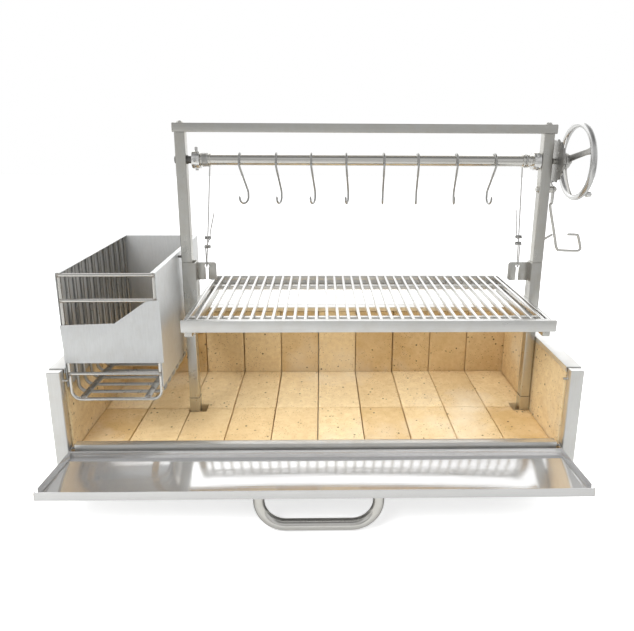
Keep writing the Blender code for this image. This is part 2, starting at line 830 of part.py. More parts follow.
def grate_bars():
    """Bars welded to a strip at each end and to two cross-bars that lie on the frame."""
    left, right = GRATE_X[0] + ANGLE_WALL + 0.0005, GRATE_X[1] - ANGLE_WALL - 0.0005
    front, back = GRATE_Y[0] + ANGLE_WALL + 0.0005, GRATE_Y[1] - ANGLE_WALL - 0.0005
    strip = 0.006
    pitch = (LAST_BAR_X - FIRST_BAR_X) / (BAR_COUNT - 1)
    edges = [left + strip]
    for i in range(BAR_COUNT):
        middle = FIRST_BAR_X + i * pitch
        edges += [middle - BAR_WIDTH / 2, middle + BAR_WIDTH / 2]
    edges.append(right - strip)
    gaps = [((a, front + strip, 0), (b, back - strip, 1)) for a, b in zip(edges[::2], edges[1::2])]
    bars = cut(box((left, front, GRATE_Z[1] - BAR_DEPTH), (right, back, GRATE_Z[1])), boxes(gaps))
    seat = GRATE_Z[0] + ANGLE_WALL + GAP
    under = GRATE_Z[1] - BAR_DEPTH + 0.002
    cross = boxes(
        [((left + 0.001, y - 0.006, seat), (right - 0.001, y + 0.006, under)) for y in (-0.120, 0.150)]
    )
    return join(bars, cross)


# Hooks, each in the frame of the shaft's axis


def meat_hook(twist, lean):
    """An S-hook. Its lower bend is turned about the vertical, and set a little to one side."""
    wrap = SHAFT_RADIUS + HOOK_CLEAR + HOOK_WIRE
    top = arc((0, 0), wrap, -25, 180, 12)
    j_centre = (HOOK_J_Y - SHAFT_Y, HOOK_BOTTOM + HOOK_J_RADIUS - SHAFT_Z)
    upper = [(0, y, z) for y, z in [*top, (-wrap, -0.012)]]
    bend = [(HOOK_J_RADIUS, 0.012), *arc((0, 0), HOOK_J_RADIUS, 0, -180, 9), (-HOOK_J_RADIUS, 0.005)]
    turn = math.radians(twist)
    lower = [
        (lean + out * math.sin(turn), j_centre[0] + out * math.cos(turn), j_centre[1] + z)
        for out, z in bend
    ]
    return tube([*upper, *lower], HOOK_WIRE)


# Firewood basket


def basket_rods():
    left, right = BASKET_X[0] + BASKET_SHEET, BASKET_X[1] - BASKET_SHEET
    a, b = left + ROD_RADIUS + GAP, right - ROD_RADIUS - GAP
    top = BASKET_TOP - BASKET_SHEET - GAP
    low = ROD_BOTTOM_Z
    bend_z = low + ROD_BEND
    path = [(a, top), *arc((a + ROD_BEND, bend_z), ROD_BEND, 180, 270, 5)]
    path += [*arc((b - ROD_BEND, bend_z), ROD_BEND, 270, 360, 5), (b, top)]
    pitch = (ROD_Y[1] - ROD_Y[0]) / (ROD_COUNT - 1)
    loops = [
        tube([(x, ROD_Y[0] + i * pitch, z) for x, z in path], ROD_RADIUS) for i in range(ROD_COUNT)
    ]
    start, end = ROD_Y[0] - 0.001, ROD_Y[1] + 0.001
    strips = boxes(
        [((x - STRIP_HALF, start, low + 0.002), (x + STRIP_HALF, end, low + 0.007)) for x in STRIP_X]
    )
    bars = [
        rod((a - 0.001, ROD_Y[0] - 0.0003, z), (b + 0.001, ROD_Y[0] - 0.0003, z), 0.0036, 12)
        for z in FRONT_BAR_HEIGHTS
    ]
    return join(together(loops), strips, together(bars))


def basket_front_plate():
    outline = [
        (-0.5740, 0.3137),
        (-0.4530, 0.3177),
        (-0.3797, 0.3689),
        (-0.3500, 0.3720),
        (-0.3490, 0.2230),
        (-0.5705, 0.2230),
    ]
    front = ROD_Y[0] - ROD_RADIUS - 0.0005
    return plate([outline], "y", front - BASKET_SHEET, front)


def basket_back_plate():
    inset = BASKET_SHEET + GAP
    return box(
        (BASKET_X[0] + inset, BACK_PLATE_Y, ROD_BOTTOM_Z),
        (BASKET_X[1] - inset, BACK_PLATE_Y + BASKET_SHEET, BASKET_TOP),
    )


def basket_side(side):
    """A plate with a flange turned in along its top. The left one has a tab that hangs on the wall."""
    face = BASKET_X[0] if side == "left" else BASKET_X[1]
    towards = 1 if side == "left" else -1
    inner = face + towards * BASKET_SHEET
    flange = face + towards * SIDE_FLANGE
    outline = [
        (face, SIDE_BOTTOM_Z),
        (inner, SIDE_BOTTOM_Z),
        (inner, BASKET_TOP - BASKET_SHEET),
        (flange, BASKET_TOP - BASKET_SHEET),
        (flange, BASKET_TOP),
        (face, BASKET_TOP),
    ]
    made = plate([outline], "y", -BACK_PLATE_Y + 0.0005, -ROD_Y[0] + ROD_RADIUS)
    made.location.y = -made.location.y
    if side == "right":
        return made
    tab = box((-0.600, 0.050, CAP_Z + 0.0005), (face + 0.001, 0.110, CAP_Z + 0.003))
    return join(made, tab)


# The assembly

hearth = empty("hearth", (0, 0, FLOOR_Z))

node("firebox_shell", firebox_shell(), "stainless", hearth)
node("insulation_board", insulation_board(), "board", hearth)
node("floor_bricks_front", floor_bricks(FRONT_ROW_Y, -0.0005), "firebrick", hearth)
node("floor_bricks_back", floor_bricks(0.0005, HEARTH_BACK_Y), "firebrick", hearth)
node("back_wall_bricks", back_wall_bricks(), "firebrick", hearth)
node("sill_plate", sill_plate(), "stainless", hearth)
node("top_beam", top_beam(), "stainless", hearth)
node("pawl_pivot_bolt", pawl_pivot_bolt(), "polished", hearth)
node("lever_keeper", lever_keeper(), "polished", hearth)
node("basket_peg", basket_peg(), "dark_steel", hearth)

winch = empty("winch_axis", (0, SHAFT_Y, SHAFT_Z), hearth)
node("winch_shaft", winch_shaft(), "polished", winch)
node("ratchet_wheel", ratchet_wheel(), "stainless", winch)
node("handwheel", handwheel(), "polished", winch)
node("wheel_spinner", wheel_spinner(), "polished", winch)

pawl = empty("pawl_axis", (0, SHAFT_Y, PIVOT_Z), hearth)
node("ratchet_pawl", ratchet_pawl(), "stainless", pawl)
node("pawl_lever", pawl_lever(), "polished", pawl)

door = empty("door_hinge", (0, HINGE_Y, HINGE_Z), hearth, (-DOOR_TILT, 0, 0))
node("door_panel", door_panel(), "polished", door)
node("door_handle", door_handle(), "polished", door)

carriage = empty("carriage", (0, 0, 0), hearth)
node("grate_frame", grate_frame(), "stainless", carriage)
node("grate_bars", grate_bars(), "stainless", carriage)

for side in ("left", "right"):
    node(f"{side}_wall_bricks", side_wall_bricks(side), "firebrick", hearth)
    node(f"front_column_{side}", front_column(side), "stainless", hearth)
    node(f"hinge_pin_{side}", hinge_pin(side), "polished", hearth)
    node(f"post_socket_{side}", post_socket(side), "stainless", hearth)
    node(f"post_{side}", post(side), "stainless", hearth)
    node(f"beam_bolt_{side}", beam_bolt(side), "polished", hearth)
    node(f"bearing_bush_{side}", bearing_bush(side), "dark_steel", hearth)
    node(f"shaft_collar_{side}", shaft_collar(side), "polished", winch)
    node(f"cable_spool_{side}", cable_spool(side), "polished", winch)
    node(f"carriage_channel_{side}", carriage_channel(side), "stainless", carriage)
    node(f"cable_plate_{side}", cable_plate(side), "stainless", carriage)
    node(f"cable_clips_{side}", cable_clips(side), "dark_steel", carriage)
    node(f"lift_cable_{side}", lift_cable(side), "dark_steel", carriage)
    node(f"basket_side_{side}", basket_side(side), "stainless", hearth)

for number, (x, twist, lean) in enumerate(zip(HOOK_X, HOOK_TWIST, HOOK_LEAN), start=1):
    hook = node(f"meat_hook_{number}", meat_hook(twist, lean), "polished", hearth)
    hook.location = (x, SHAFT_Y, SHAFT_Z)

node("basket_rods", basket_rods(), "polished", hearth)
node("basket_front_plate", basket_front_plate(), "stainless", hearth)
node("basket_back_plate", basket_back_plate(), "stainless", hearth)
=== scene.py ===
"""The looks of a built-in wood-fired grill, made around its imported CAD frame.

Lengths are in metres. Shapes are made with heights above the firebrick floor, and piece() lifts
each one by FLOOR_Z to the frame's own heights.
"""

import math
import random
from itertools import product

import bmesh
import bpy
from mathutils import Matrix, Vector, noise


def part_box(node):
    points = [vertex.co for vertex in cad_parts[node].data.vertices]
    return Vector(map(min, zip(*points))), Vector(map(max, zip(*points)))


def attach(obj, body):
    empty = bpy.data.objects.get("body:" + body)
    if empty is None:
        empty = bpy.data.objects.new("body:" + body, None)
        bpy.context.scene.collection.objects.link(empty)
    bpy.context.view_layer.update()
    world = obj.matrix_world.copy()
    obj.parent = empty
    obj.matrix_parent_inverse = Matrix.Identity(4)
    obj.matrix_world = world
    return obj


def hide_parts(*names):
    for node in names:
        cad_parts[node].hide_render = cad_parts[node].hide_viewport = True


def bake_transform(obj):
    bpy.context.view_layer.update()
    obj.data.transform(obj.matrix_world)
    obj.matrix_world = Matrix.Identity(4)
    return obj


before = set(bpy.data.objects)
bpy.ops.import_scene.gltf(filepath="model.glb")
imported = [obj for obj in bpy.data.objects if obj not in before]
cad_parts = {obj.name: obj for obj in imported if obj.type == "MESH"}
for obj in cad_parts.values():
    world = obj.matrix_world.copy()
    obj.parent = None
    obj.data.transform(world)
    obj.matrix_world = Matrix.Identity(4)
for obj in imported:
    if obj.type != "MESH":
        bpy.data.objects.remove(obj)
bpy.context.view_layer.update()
CHANCE = random.Random(11)
FLOOR_Z = 0.085
X, Y, Z = Vector((1, 0, 0)), Vector((0, 1, 0)), Vector((0, 0, 1))
SIDES = ("left", "right")


def span(node):
    """A CAD node's lowest and highest corner, with heights above the brick floor."""
    low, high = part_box(node)
    return low - Z * FLOOR_Z, high - Z * FLOOR_Z


# Camera

CAMERA_AT = (0.0067, -1.3818, 0.8338)
YAW, PITCH, ROLL = (math.radians(angle) for angle in (1.21, 13.87, 0.31))

forward = Vector((math.sin(YAW) * math.cos(PITCH), math.cos(YAW) * math.cos(PITCH), -math.sin(PITCH)))
level = Vector((math.cos(YAW), -math.sin(YAW), 0))
upright = level.cross(forward)
right = level * math.cos(ROLL) + upright * math.sin(ROLL)
up = upright * math.cos(ROLL) - level * math.sin(ROLL)

camera = bpy.data.objects.new("camera", bpy.data.cameras.new("camera"))
camera.data.sensor_width = 36
camera.data.lens = 31.57
camera.data.shift_x = -0.0238
camera.data.shift_y = -0.0833
camera.data.clip_start = 0.02
camera.matrix_world = Matrix.Translation(CAMERA_AT) @ Matrix((right, up, -forward)).transposed().to_4x4()
bpy.context.scene.collection.objects.link(camera)
bpy.context.scene.camera = camera


# Nodes


def put(tree, kind, inputs=(), **settings):
    """Adds a node. An input's value is a number, a colour, or the socket that feeds it."""
    made = tree.nodes.new("ShaderNode" + kind)
    for key, value in settings.items():
        setattr(made, key, value)
    for key, value in dict(inputs).items():
        if isinstance(value, bpy.types.NodeSocket):
            tree.links.new(value, made.inputs[key])
        else:
            made.inputs[key].default_value = value
    return made


def grains(tree, place, scale, detail=3.0, roughness=0.6):
    """A noise pattern. A scale of three numbers stretches it."""
    if isinstance(scale, tuple):
        place = put(tree, "Mapping", {"Vector": place, "Scale": scale}).outputs[0]
        scale = 1.0
    values = {"Vector": place, "Scale": scale, "Detail": detail, "Roughness": roughness}
    return put(tree, "TexNoise", values).outputs[0]


def spread(tree, value, low, high, start=0.3, end=0.7):
    """Rescales a pattern's values to run from low to high."""
    values = {"Value": value, "From Min": start, "From Max": end, "To Min": low, "To Max": high}
    return put(tree, "MapRange", values).outputs[0]


def mixed(tree, share, first, second):
    """Goes from the first colour to the second as the share goes from 0 to 1."""
    first, second = ((*c, 1) if isinstance(c, tuple) else c for c in (first, second))
    return put(tree, "Mix", {0: share, 6: first, 7: second}, data_type="RGBA").outputs[2]


def cells(tree, place, scale):
    """The distance to the nearest of some points scattered through space."""
    values = {"Vector": place, "Scale": scale, "Randomness": 1.0}
    return put(tree, "TexVoronoi", values).outputs["Distance"]


def times(tree, first, second):
    return put(tree, "Math", {0: first, 1: second}, operation="MULTIPLY").outputs[0]


def greys(tree, value, stops, warmth=1.0):
    """A ramp of greys. Each stop is its place from 0 to 1 and its brightness."""
    made = put(tree, "ValToRGB", {0: value})
    ramp = made.color_ramp
    while len(ramp.elements) < len(stops):
        ramp.elements.new(0.5)
    for element, (at, bright) in zip(ramp.elements, stops):
        element.position = at
        element.color = (bright, bright, bright * warmth, 1)
    return made.outputs[0]


def new_material(name):
    made = bpy.data.materials.new(name)
    made.use_nodes = True
    tree = made.node_tree
    place = put(tree, "TexCoord").outputs["Object"]
    return made, tree, place, tree.nodes["Principled BSDF"]


def finish(tree, shader, tone, rough, height, distance, strength):
    """Gives a shader its colour and roughness, and raises its surface by a pattern."""
    bump = put(tree, "Bump", {"Strength": strength, "Distance": distance, "Height": height})
    for name, value in (("Base Color", tone), ("Roughness", rough), ("Normal", bump.outputs[0])):
        tree.links.new(value, shader.inputs[name])


def steel(
    name, colour, roughness, grain=(700, 700, 700), scratch=0.06, smudge=0.08, stain=0.5, metal=1.0
):
    """Sheet or bar steel: grain drawn out along one axis, faint stains and finger smudges.

    Below 1, metal leaves a share of scattered light, as on a dull surface.
    """
    made, tree, place, shader = new_material(name)
    shader.inputs["Metallic"].default_value = metal
    fine = grains(tree, place, grain, 2.0)
    patches = grains(tree, place, 5.5, 3.0)
    marks = grains(tree, place, 31.0, 4.0, 0.7)
    light = tuple(min(1.0, c * 1.07) for c in colour)
    warm = (colour[0] * 0.97, colour[1] * 0.92, colour[2] * 0.84)
    tone = mixed(tree, spread(tree, patches, 0, 1), colour, light)
    tone = mixed(tree, spread(tree, marks, 0, stain * 0.6, 0.45, 0.75), tone, warm)
    tone = mixed(tree, spread(tree, fine, 0, scratch * 2), tone, tuple(c * 0.6 for c in colour))
    smudged = spread(tree, marks, roughness - smudge / 2, roughness + smudge)
    rough = put(tree, "Math", {0: smudged, 1: spread(tree, fine, 0, scratch)}).outputs[0]
    finish(tree, shader, tone, rough, fine, 0.00012, 0.5)
    return made


def firebrick():
    """Fired clay: per-brick tint, sandy grain, pores with painted shade in them, iron specks and pale
    scuffs.
    """
    made, tree, place, shader = new_material("firebrick")
    tint = put(tree, "Attribute", attribute_name="tint").outputs["Fac"]
    cloud = grains(tree, place, 11.0, 5.0)
    sand = grains(tree, place, 900.0, 2.0)
    mottle = grains(tree, place, 65.0, 5.0, 0.7)
    tone = mixed(tree, tint, (0.55, 0.35, 0.13), (0.94, 0.76, 0.46))
    tone = mixed(tree, spread(tree, cloud, 0, 0.5, 0.35, 0.65), tone, (0.90, 0.71, 0.42))
    tone = mixed(tree, spread(tree, mottle, 0, 0.45, 0.35, 0.7), tone, (0.55, 0.35, 0.16))
    scuff = spread(tree, grains(tree, place, 4.0, 6.0), 0, 0.55, 0.55, 0.75)
    tone = mixed(tree, scuff, tone, (0.92, 0.84, 0.68))
    pores = spread(tree, cells(tree, place, 48.0), 1, 0, 0.09, 0.16)
    specks = spread(tree, cells(tree, place, 150.0), 1, 0, 0.12, 0.20)
    pored_patches = spread(tree, grains(tree, place, 23.0, 2.0), 0, 1, 0.47, 0.54)
    specked_patches = spread(tree, grains(tree, place, 14.0, 2.0), 0.15, 1.0, 0.40, 0.56)
    pore_depth_and_shade = times(tree, pores, pored_patches)
    speck = times(tree, specks, specked_patches)
    tone = mixed(tree, speck, tone, (0.24, 0.13, 0.06))
    # The pores sink into the bump, and their near-black is painted shade inside them.
    tone = mixed(tree, pore_depth_and_shade, tone, (0.10, 0.06, 0.03))
    lumps = put(tree, "Math", {0: mottle, 1: spread(tree, sand, 0, 0.35)}).outputs[0]
    height = put(tree, "Math", {0: lumps, 1: pore_depth_and_shade}, operation="SUBTRACT").outputs[0]
    finish(tree, shader, tone, spread(tree, mottle, 0.82, 0.96), height, 0.0009, 0.75)
    return made


def fibre_board():
    made, tree, place, shader = new_material("fibre_board")
    fibres = grains(tree, place, (260, 60, 260), 4.0)
    tone = mixed(tree, spread(tree, fibres, 0, 1), (0.58, 0.55, 0.49), (0.74, 0.72, 0.67))
    finish(tree, shader, tone, spread(tree, fibres, 0.88, 0.98), fibres, 0.0006, 0.7)
    return made


def weld_metal():
    """A bead with straw and blue heat colours."""
    made, tree, place, shader = new_material("weld_metal")
    shader.inputs["Metallic"].default_value = 1.0
    heat = grains(tree, place, 120.0, 2.0)
    tone = mixed(tree, spread(tree, heat, 0, 1, 0.35, 0.65), (0.56, 0.54, 0.52), (0.42, 0.36, 0.29))
    tone = mixed(tree, spread(tree, heat, 0, 0.5, 0.6, 0.7), tone, (0.28, 0.32, 0.42))
    ripples = grains(tree, place, 600.0, 2.0)
    finish(tree, shader, tone, spread(tree, heat, 0.28, 0.42), ripples, 0.0002, 0.4)
    return made


SHEET_COLOUR = (0.73, 0.73, 0.715)
LOOKS = {
    "sheet_x": steel("brushed_sheet_x", SHEET_COLOUR, 0.30, (9, 800, 800), metal=0.9),
    "sheet_z": steel("brushed_sheet_z", SHEET_COLOUR, 0.30, (800, 800, 9), metal=0.9),
    "post": steel("ground_square_tube", (0.60, 0.595, 0.565), 0.27, (700, 700, 12), stain=0.9),
    "beam": steel("ground_beam", (0.60, 0.595, 0.57), 0.30, (12, 700, 700), stain=0.9),
    "basket": steel(
        "basket_plate", (0.68, 0.69, 0.69), 0.42, (300, 300, 40), smudge=0.14, stain=0.4, metal=0.64
    ),
    "rods": steel("drawn_rod", (0.74, 0.73, 0.70), 0.19, (400, 400, 400), scratch=0.04),
    # The basket's U-rods: the drawn rod's steel, a little rougher, with its colour painted darker as
    # shade inside the basket.
    "shaded_cage": steel("dull_rod_painted_shade", (0.50, 0.495, 0.48), 0.26, (400, 400, 400), scratch=0.06),
    "rim": steel("wheel_tube", (0.66, 0.66, 0.655), 0.16, (500, 500, 500), scratch=0.05, stain=0.2),
    "bars_y": steel("grate_bar", (0.74, 0.74, 0.73), 0.24, (700, 14, 700)),
    "tray": steel(
        "mirror_tray", (0.67, 0.67, 0.67), 0.075, (6, 320, 320),
        scratch=0.01, smudge=0.02, stain=0.10, metal=0.80,
    ),
    "tube": steel("polished_tube", (0.72, 0.71, 0.68), 0.12, (40, 300, 300), scratch=0.04, smudge=0.05),
    "chrome": steel(
        "bright_chrome", (0.80, 0.80, 0.79), 0.07, (500, 500, 500), scratch=0.03, smudge=0.04, stain=0.1
    ),
    "hook": steel("hook_wire", (0.46, 0.46, 0.45), 0.24, (400, 400, 400), scratch=0.06),
    "cast": steel("cast_spoke", (0.62, 0.615, 0.60), 0.28, (240, 240, 240), scratch=0.10, smudge=0.10),
    # The ratchet is bright steel; its colour is painted darker than the other steel, as the shade
    # between the post and the handwheel.
    "ratchet": steel("ratchet_plate_painted_shade", (0.42, 0.415, 0.40), 0.34, (300, 300, 300), scratch=0.12, smudge=0.12),
    "clip": steel("clip_casting", (0.44, 0.44, 0.43), 0.36, (350, 350, 350), scratch=0.10, smudge=0.10),
    "dark": steel("dark_steel", (0.20, 0.195, 0.19), 0.42, (350, 350, 350), scratch=0.10, smudge=0.10),
    "rope": steel("wire_strand", (0.66, 0.66, 0.65), 0.34, (600, 600, 90), scratch=0.10),
    "weld": weld_metal(),
    "firebrick": firebrick(),
    "board": fibre_board(),
}
LOOKS_IN_SLOT = {
    "stainless": ("sheet_x", "sheet_z", "post", "beam", "basket", "bars_y", "ratchet", "cast", "weld"),
    "polished_steel": ("rods", "shaded_cage", "tray", "tube", "chrome", "hook"),
    "dark_steel": ("clip", "dark", "rope"),
    "chrome": ("rim",),
    "firebrick": ("firebrick",),
}
USUAL_SLOT = {look: slot for slot, looks in LOOKS_IN_SLOT.items() for look in looks}


# Mesh building


def add(shape, part, matrix=None):
    """Puts one mesh under work into another, and frees it."""
    if matrix is not None:
        bmesh.ops.transform(part, matrix=matrix, verts=part.verts)
    mesh = bpy.data.meshes.new("part")
    part.to_mesh(mesh)
    part.free()
    shape.from_mesh(mesh)
    bpy.data.meshes.remove(mesh)


def skin(shape, rings, loop=False):
    """Quads between rings of points. Without a loop, the first and last ring are closed."""
    made = [[shape.verts.new(point) for point in ring] for ring in rings]
    pairs = list(zip(made, made[1:]))
    if loop:
        pairs.append((made[-1], made[0]))
    for a, b in pairs:
        for i in range(len(a)):
            j = (i + 1) % len(a)
            shape.faces.new((a[i], a[j], b[j], b[i]))
    if not loop:
        shape.faces.new(made[0][::-1])
        shape.faces.new(made[-1])


def sweep(shape, points, radius, sides=16, loop=False):
    """A round bar along points. The radius is a number, or a list with one for each point."""
    points = [Vector(p) for p in points]
    count = len(points)
    radii = radius if isinstance(radius, list) else [radius] * count
    aims = []
    for i in range(count):
        after = points[(i + 1) % count] if loop or i < count - 1 else points[i]
        before = points[i - 1] if loop or i else points[i]
        aims.append((after - before).normalized())
    across = aims[0].orthogonal().normalized()
    rings = []
    for i in range(count):
        if i:
            across = aims[i - 1].rotation_difference(aims[i]) @ across
        across = (across - aims[i] * across.dot(aims[i])).normalized()
        other = aims[i].cross(across)
        turns = [2 * math.pi * k / sides for k in range(sides)]
        spokes = [across * math.cos(t) + other * math.sin(t) for t in turns]
        rings.append([points[i] + spoke * radii[i] for spoke in spokes])
    skin(shape, rings, loop)


def rod(shape, start, end, radius, sides=20, ease=0.0006):
    """A straight round bar with eased ends."""
    start, end = Vector(start), Vector(end)
    step = (end - start).normalized() * ease
    radii = [radius - ease, radius, radius, radius - ease]
    sweep(shape, [start, start + step, end - step, end], radii, sides)


def lathe(shape, at, axis, profile, sides=32, loop=False):
    """Turns (along, radius) points about an axis. A third value in a point gives it six flats."""
    axis = Vector(axis).normalized()
    across = axis.orthogonal().normalized()
    if abs(axis.z) < 0.5:
        across = Z.cross(axis).normalized()
    other = axis.cross(across)
    rings = []
    for along, radius, *hexed in profile:
        ring = []
        for k in range(sides):
            turn = 2 * math.pi * k / sides
            reach = radius
            if hexed:
                reach /= math.cos((turn + math.pi / 6) % (math.pi / 3) - math.pi / 6)
            spoke = across * math.cos(turn) + other * math.sin(turn)
            ring.append(Vector(at) + axis * along + spoke * reach)
        rings.append(ring)
    skin(shape, rings, loop)


def bolt_head(shape, at, axis, flats, height, washer=0.0, sides=36):
    """A hexagon head with its chamfer, on a washer if one is asked for."""
    base = 0.0
    if washer:
        lathe(shape, at, axis, [(0, washer), (0.0009, washer), (0.0012, washer - 0.0003)], sides)
        base = 0.0012
    top = base + height
    profile = [(base, flats, 1), (base + height * 0.82, flats, 1), (top, flats * 0.9)]
    profile += [(top, flats * 0.6), (top - 0.0003, flats * 0.55)]
    lathe(shape, at, axis, profile, sides)


def through(points, steps=6):
    """A smooth path through the points: each of its stretches has this many steps."""
    points = [Vector(p) for p in points]
    last = len(points) - 1
    found = []
    for i in range(last):
        a, b, c, d = (points[min(max(i + k, 0), last)] for k in (-1, 0, 1, 2))
        for k in range(steps):
            t = k / steps
            square, cube = 2 * a - 5 * b + 4 * c - d, 3 * b - a - 3 * c + d
            found.append(0.5 * (2 * b + (c - a) * t + square * t**2 + cube * t**3))
    found.append(points[-1])
    return found


def arc(centre, radius, start, end, steps):
    """Points of an arc in a plane, between two angles in degrees."""
    turns = [math.radians(start + (end - start) * i / steps) for i in range(steps + 1)]
    return [(centre[0] + radius * math.cos(t), centre[1] + radius * math.sin(t)) for t in turns]


def ease_edges(shape, width, angle, segments):
    """Rounds the edges whose faces meet at more than the angle, in degrees."""
    shape.normal_update()
    limit = math.radians(angle)
    sharp = [e for e in shape.edges if len(e.link_faces) == 2 and e.calc_face_angle() > limit]
    bmesh.ops.bevel(
        shape, geom=sharp, offset=width, segments=segments, profile=0.5, affect="EDGES",
        clamp_overlap=True,
    )


def bar(shape, low, high, axis, corner, end=0.0004, segments=3):
    """A straight bar with rounded corners along one axis, and eased ends."""
    part = bmesh.new()
    low, high = Vector(low), Vector(high)
    size = high - low
    place = Matrix.Translation((low + high) / 2) @ Matrix.Diagonal((*size, 1))
    bmesh.ops.create_cube(part, size=1, matrix=place)
    runs = [e for e in part.edges if abs((e.verts[0].co - e.verts[1].co)[axis]) > size[axis] / 2]
    bmesh.ops.bevel(part, geom=runs, offset=corner, segments=segments, profile=0.5, affect="EDGES")
    part.normal_update()
    rims = [e for e in part.edges if any(abs(f.normal[axis]) > 0.99 for f in e.link_faces)]
    bmesh.ops.bevel(part, geom=rims, offset=end, segments=1, profile=0.5, affect="EDGES")
    add(shape, part)


WELD = {
    "beam_end": 0.0005, "mitre": 0.0009, "case_corner": 0.0011, "foot": 0.0012, "arm": 0.0012,
    "plate": 0.0014, "handle": 0.0016,
}


def bead(shape, points, radius, pitch=0.9):
    """A weld bead: overlapping ripples along the points."""
    points = [Vector(p) for p in points]
    path, radii = [], []
    for a, b in zip(points, points[1:]):
        count = max(3, round((b - a).length / (radius * pitch / 2)))
        for i in range(count):
            wobble = Vector([CHANCE.uniform(-1, 1) for _ in range(3)]) * radius * 0.08
            path.append(a.lerp(b, i / count) + wobble)
            radii.append(radius * ((1.0, 0.84)[len(path) % 2] + CHANCE.uniform(-0.05, 0.05)))
    path.append(points[-1])
    radii.append(radius * 0.5)
    radii[0] = radius * 0.5
    sweep(shape, path, radii, 8)


def blob(shape, at, radius, flatten=(1, 1, 1)):
    """A small tack weld."""
    part = bmesh.new()
    bmesh.ops.create_icosphere(part, subdivisions=2, radius=radius)
    for vert in part.verts:
        vert.co *= 1 + 0.12 * noise.noise(vert.co / radius * 1.7 + Vector(at) * 50)
    add(shape, part, Matrix.Translation(at) @ Matrix.Diagonal((*flatten, 1)))


def worked(node, width, angle=25, segments=2):
    """The CAD node's shape with its edges rounded, heights above the brick floor."""
    shape = bmesh.new()
    shape.from_mesh(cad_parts[node].data)
    bmesh.ops.remove_doubles(shape, verts=shape.verts, dist=1e-5)
    bmesh.ops.dissolve_limit(shape, angle_limit=math.radians(0.6), verts=shape.verts, edges=shape.edges)
    bmesh.ops.transform(shape, matrix=Matrix.Translation(-Z * FLOOR_Z), verts=shape.verts)
    ease_edges(shape, width, angle, segments)
    return shape


def piece(name, shape, look, body, stands_for=(), slot=None, sharp=34, turn=None):
    """Turns a mesh under work into a named piece that rides on a body.

    Edges sharper than so many degrees stay sharp. A turn puts the shape in a tilted frame.
    """
    slot = slot or USUAL_SLOT[look]
    if turn is not None:
        bmesh.ops.transform(shape, matrix=turn, verts=shape.verts)
    bmesh.ops.transform(shape, matrix=Matrix.Translation(Z * FLOOR_Z), verts=shape.verts)
    bmesh.ops.recalc_face_normals(shape, faces=shape.faces)
    for face in shape.faces:
        face.smooth = True
    for edge in shape.edges:
        edge.smooth = len(edge.link_faces) == 2 and edge.calc_face_angle() < math.radians(sharp)
    mesh = bpy.data.meshes.new(name)
    shape.to_mesh(mesh)
    shape.free()
    mesh.materials.append(LOOKS[look])
    made = bpy.data.objects.new(name, mesh)
    bpy.context.scene.collection.objects.link(made)
    if body:
        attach(made, body)
    if stands_for:
        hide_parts(*stands_for)
    return made


# Firebricks

BRICK = 0.115
JOINT = 0.0016
WORN_EDGE = 0.0012
LATTICE = 0.010
UNEVEN = 0.0009
DIMPLE, CHIP, EDGE_WEAR = 0.0005, 0.0030, 0.0006
NOTCH_Y = (-0.0185, 0.022)
NOTCH_OUTER, NOTCH_INNER = 0.003, 0.016


def lattice(low, high, breaks):
    """Grid lines from low to high: close together at the ends and at the breaks, even between."""
    stops = sorted({low, high, *(b for b in breaks if low < b < high)})
    lines = []
    for a, b in zip(stops, stops[1:]):
        inner = b - a - 2 * WORN_EDGE
        count = max(1, round(inner / LATTICE))
        lines += [a, *(a + WORN_EDGE + inner * i / count for i in range(count + 1))]
    return [*lines, high]


def worn(part, shade):
    """Dimples the faces of a brick, and chips its edges and corners."""
    bmesh.ops.recalc_face_normals(part, faces=part.faces)
    part.normal_update()
    moves = []
    for vert in part.verts:
        seed = vert.co + Vector((shade * 7, 0, 0))
        on_a_face = max(vert.normal.dot(face.normal) for face in vert.link_faces) > 0.97
        if on_a_face:
            moves.append(vert.normal * -abs(noise.noise(seed * 28)) * DIMPLE)
        else:
            chip = max(0.0, noise.noise(seed * 90) - 0.15) * CHIP
            moves.append(vert.normal * -(EDGE_WEAR + chip))
    for vert, move in zip(part.verts, moves):
        vert.co += move


def brick(shape, low, high, notch=None):
    """One firebrick as a block of cells, with the cells inside a box-shaped notch left out."""
    grid = []
    for axis in range(3):
        breaks = (notch[0][axis], notch[1][axis]) if notch else ()
        grid.append(lattice(low[axis], high[axis], breaks))
    counts = [len(lines) - 1 for lines in grid]

    def filled(cell):
        if any(not 0 <= c < n for c, n in zip(cell, counts)):
            return False
        if not notch:
            return True
        middle = [(grid[a][c] + grid[a][c + 1]) / 2 for a, c in enumerate(cell)]
        return not all(notch[0][a] < middle[a] < notch[1][a] for a in range(3))

    part = bmesh.new()
    tint = part.faces.layers.float.new("tint")
    shade = min(1.0, max(0.0, CHANCE.gauss(0.52, 0.38)))
    corners = {}

    def corner(key):
        if key not in corners:
            corners[key] = part.verts.new([grid[a][k] for a, k in enumerate(key)])
        return corners[key]

    for cell in filter(filled, product(*(range(n) for n in counts))):
        for axis, side in product(range(3), (0, 1)):
            near = list(cell)
            near[axis] += 1 if side else -1
            if filled(near):
                continue
            u, v = [a for a in range(3) if a != axis]
            found = []
            for du, dv in ((0, 0), (1, 0), (1, 1), (0, 1)):
                key = list(cell)
                key[axis] += side
                key[u] += du
                key[v] += dv
                found.append(corner(tuple(key)))
            part.faces.new(found)[tint] = shade
    worn(part, shade)
    add(shape, part)


def brick_row(name, node, lows, highs, notches=()):
    """One piece of several bricks, each a little short of its place by chance."""
    shape = bmesh.new()
    shape.faces.layers.float.new("tint")
    for low, high in zip(lows, highs):
        low = [low[a] + CHANCE.uniform(0, UNEVEN) for a in (0, 1)] + [low[2]]
        high = [high[a] - CHANCE.uniform(0, UNEVEN) for a in (0, 1)] + [high[2]]
        notch = next((n for n in notches if n[0][0] < high[0] and n[1][0] > low[0]), None)
        brick(shape, low, high, notch)
    piece(name, shape, "firebrick", "firebox", (node,), sharp=60)


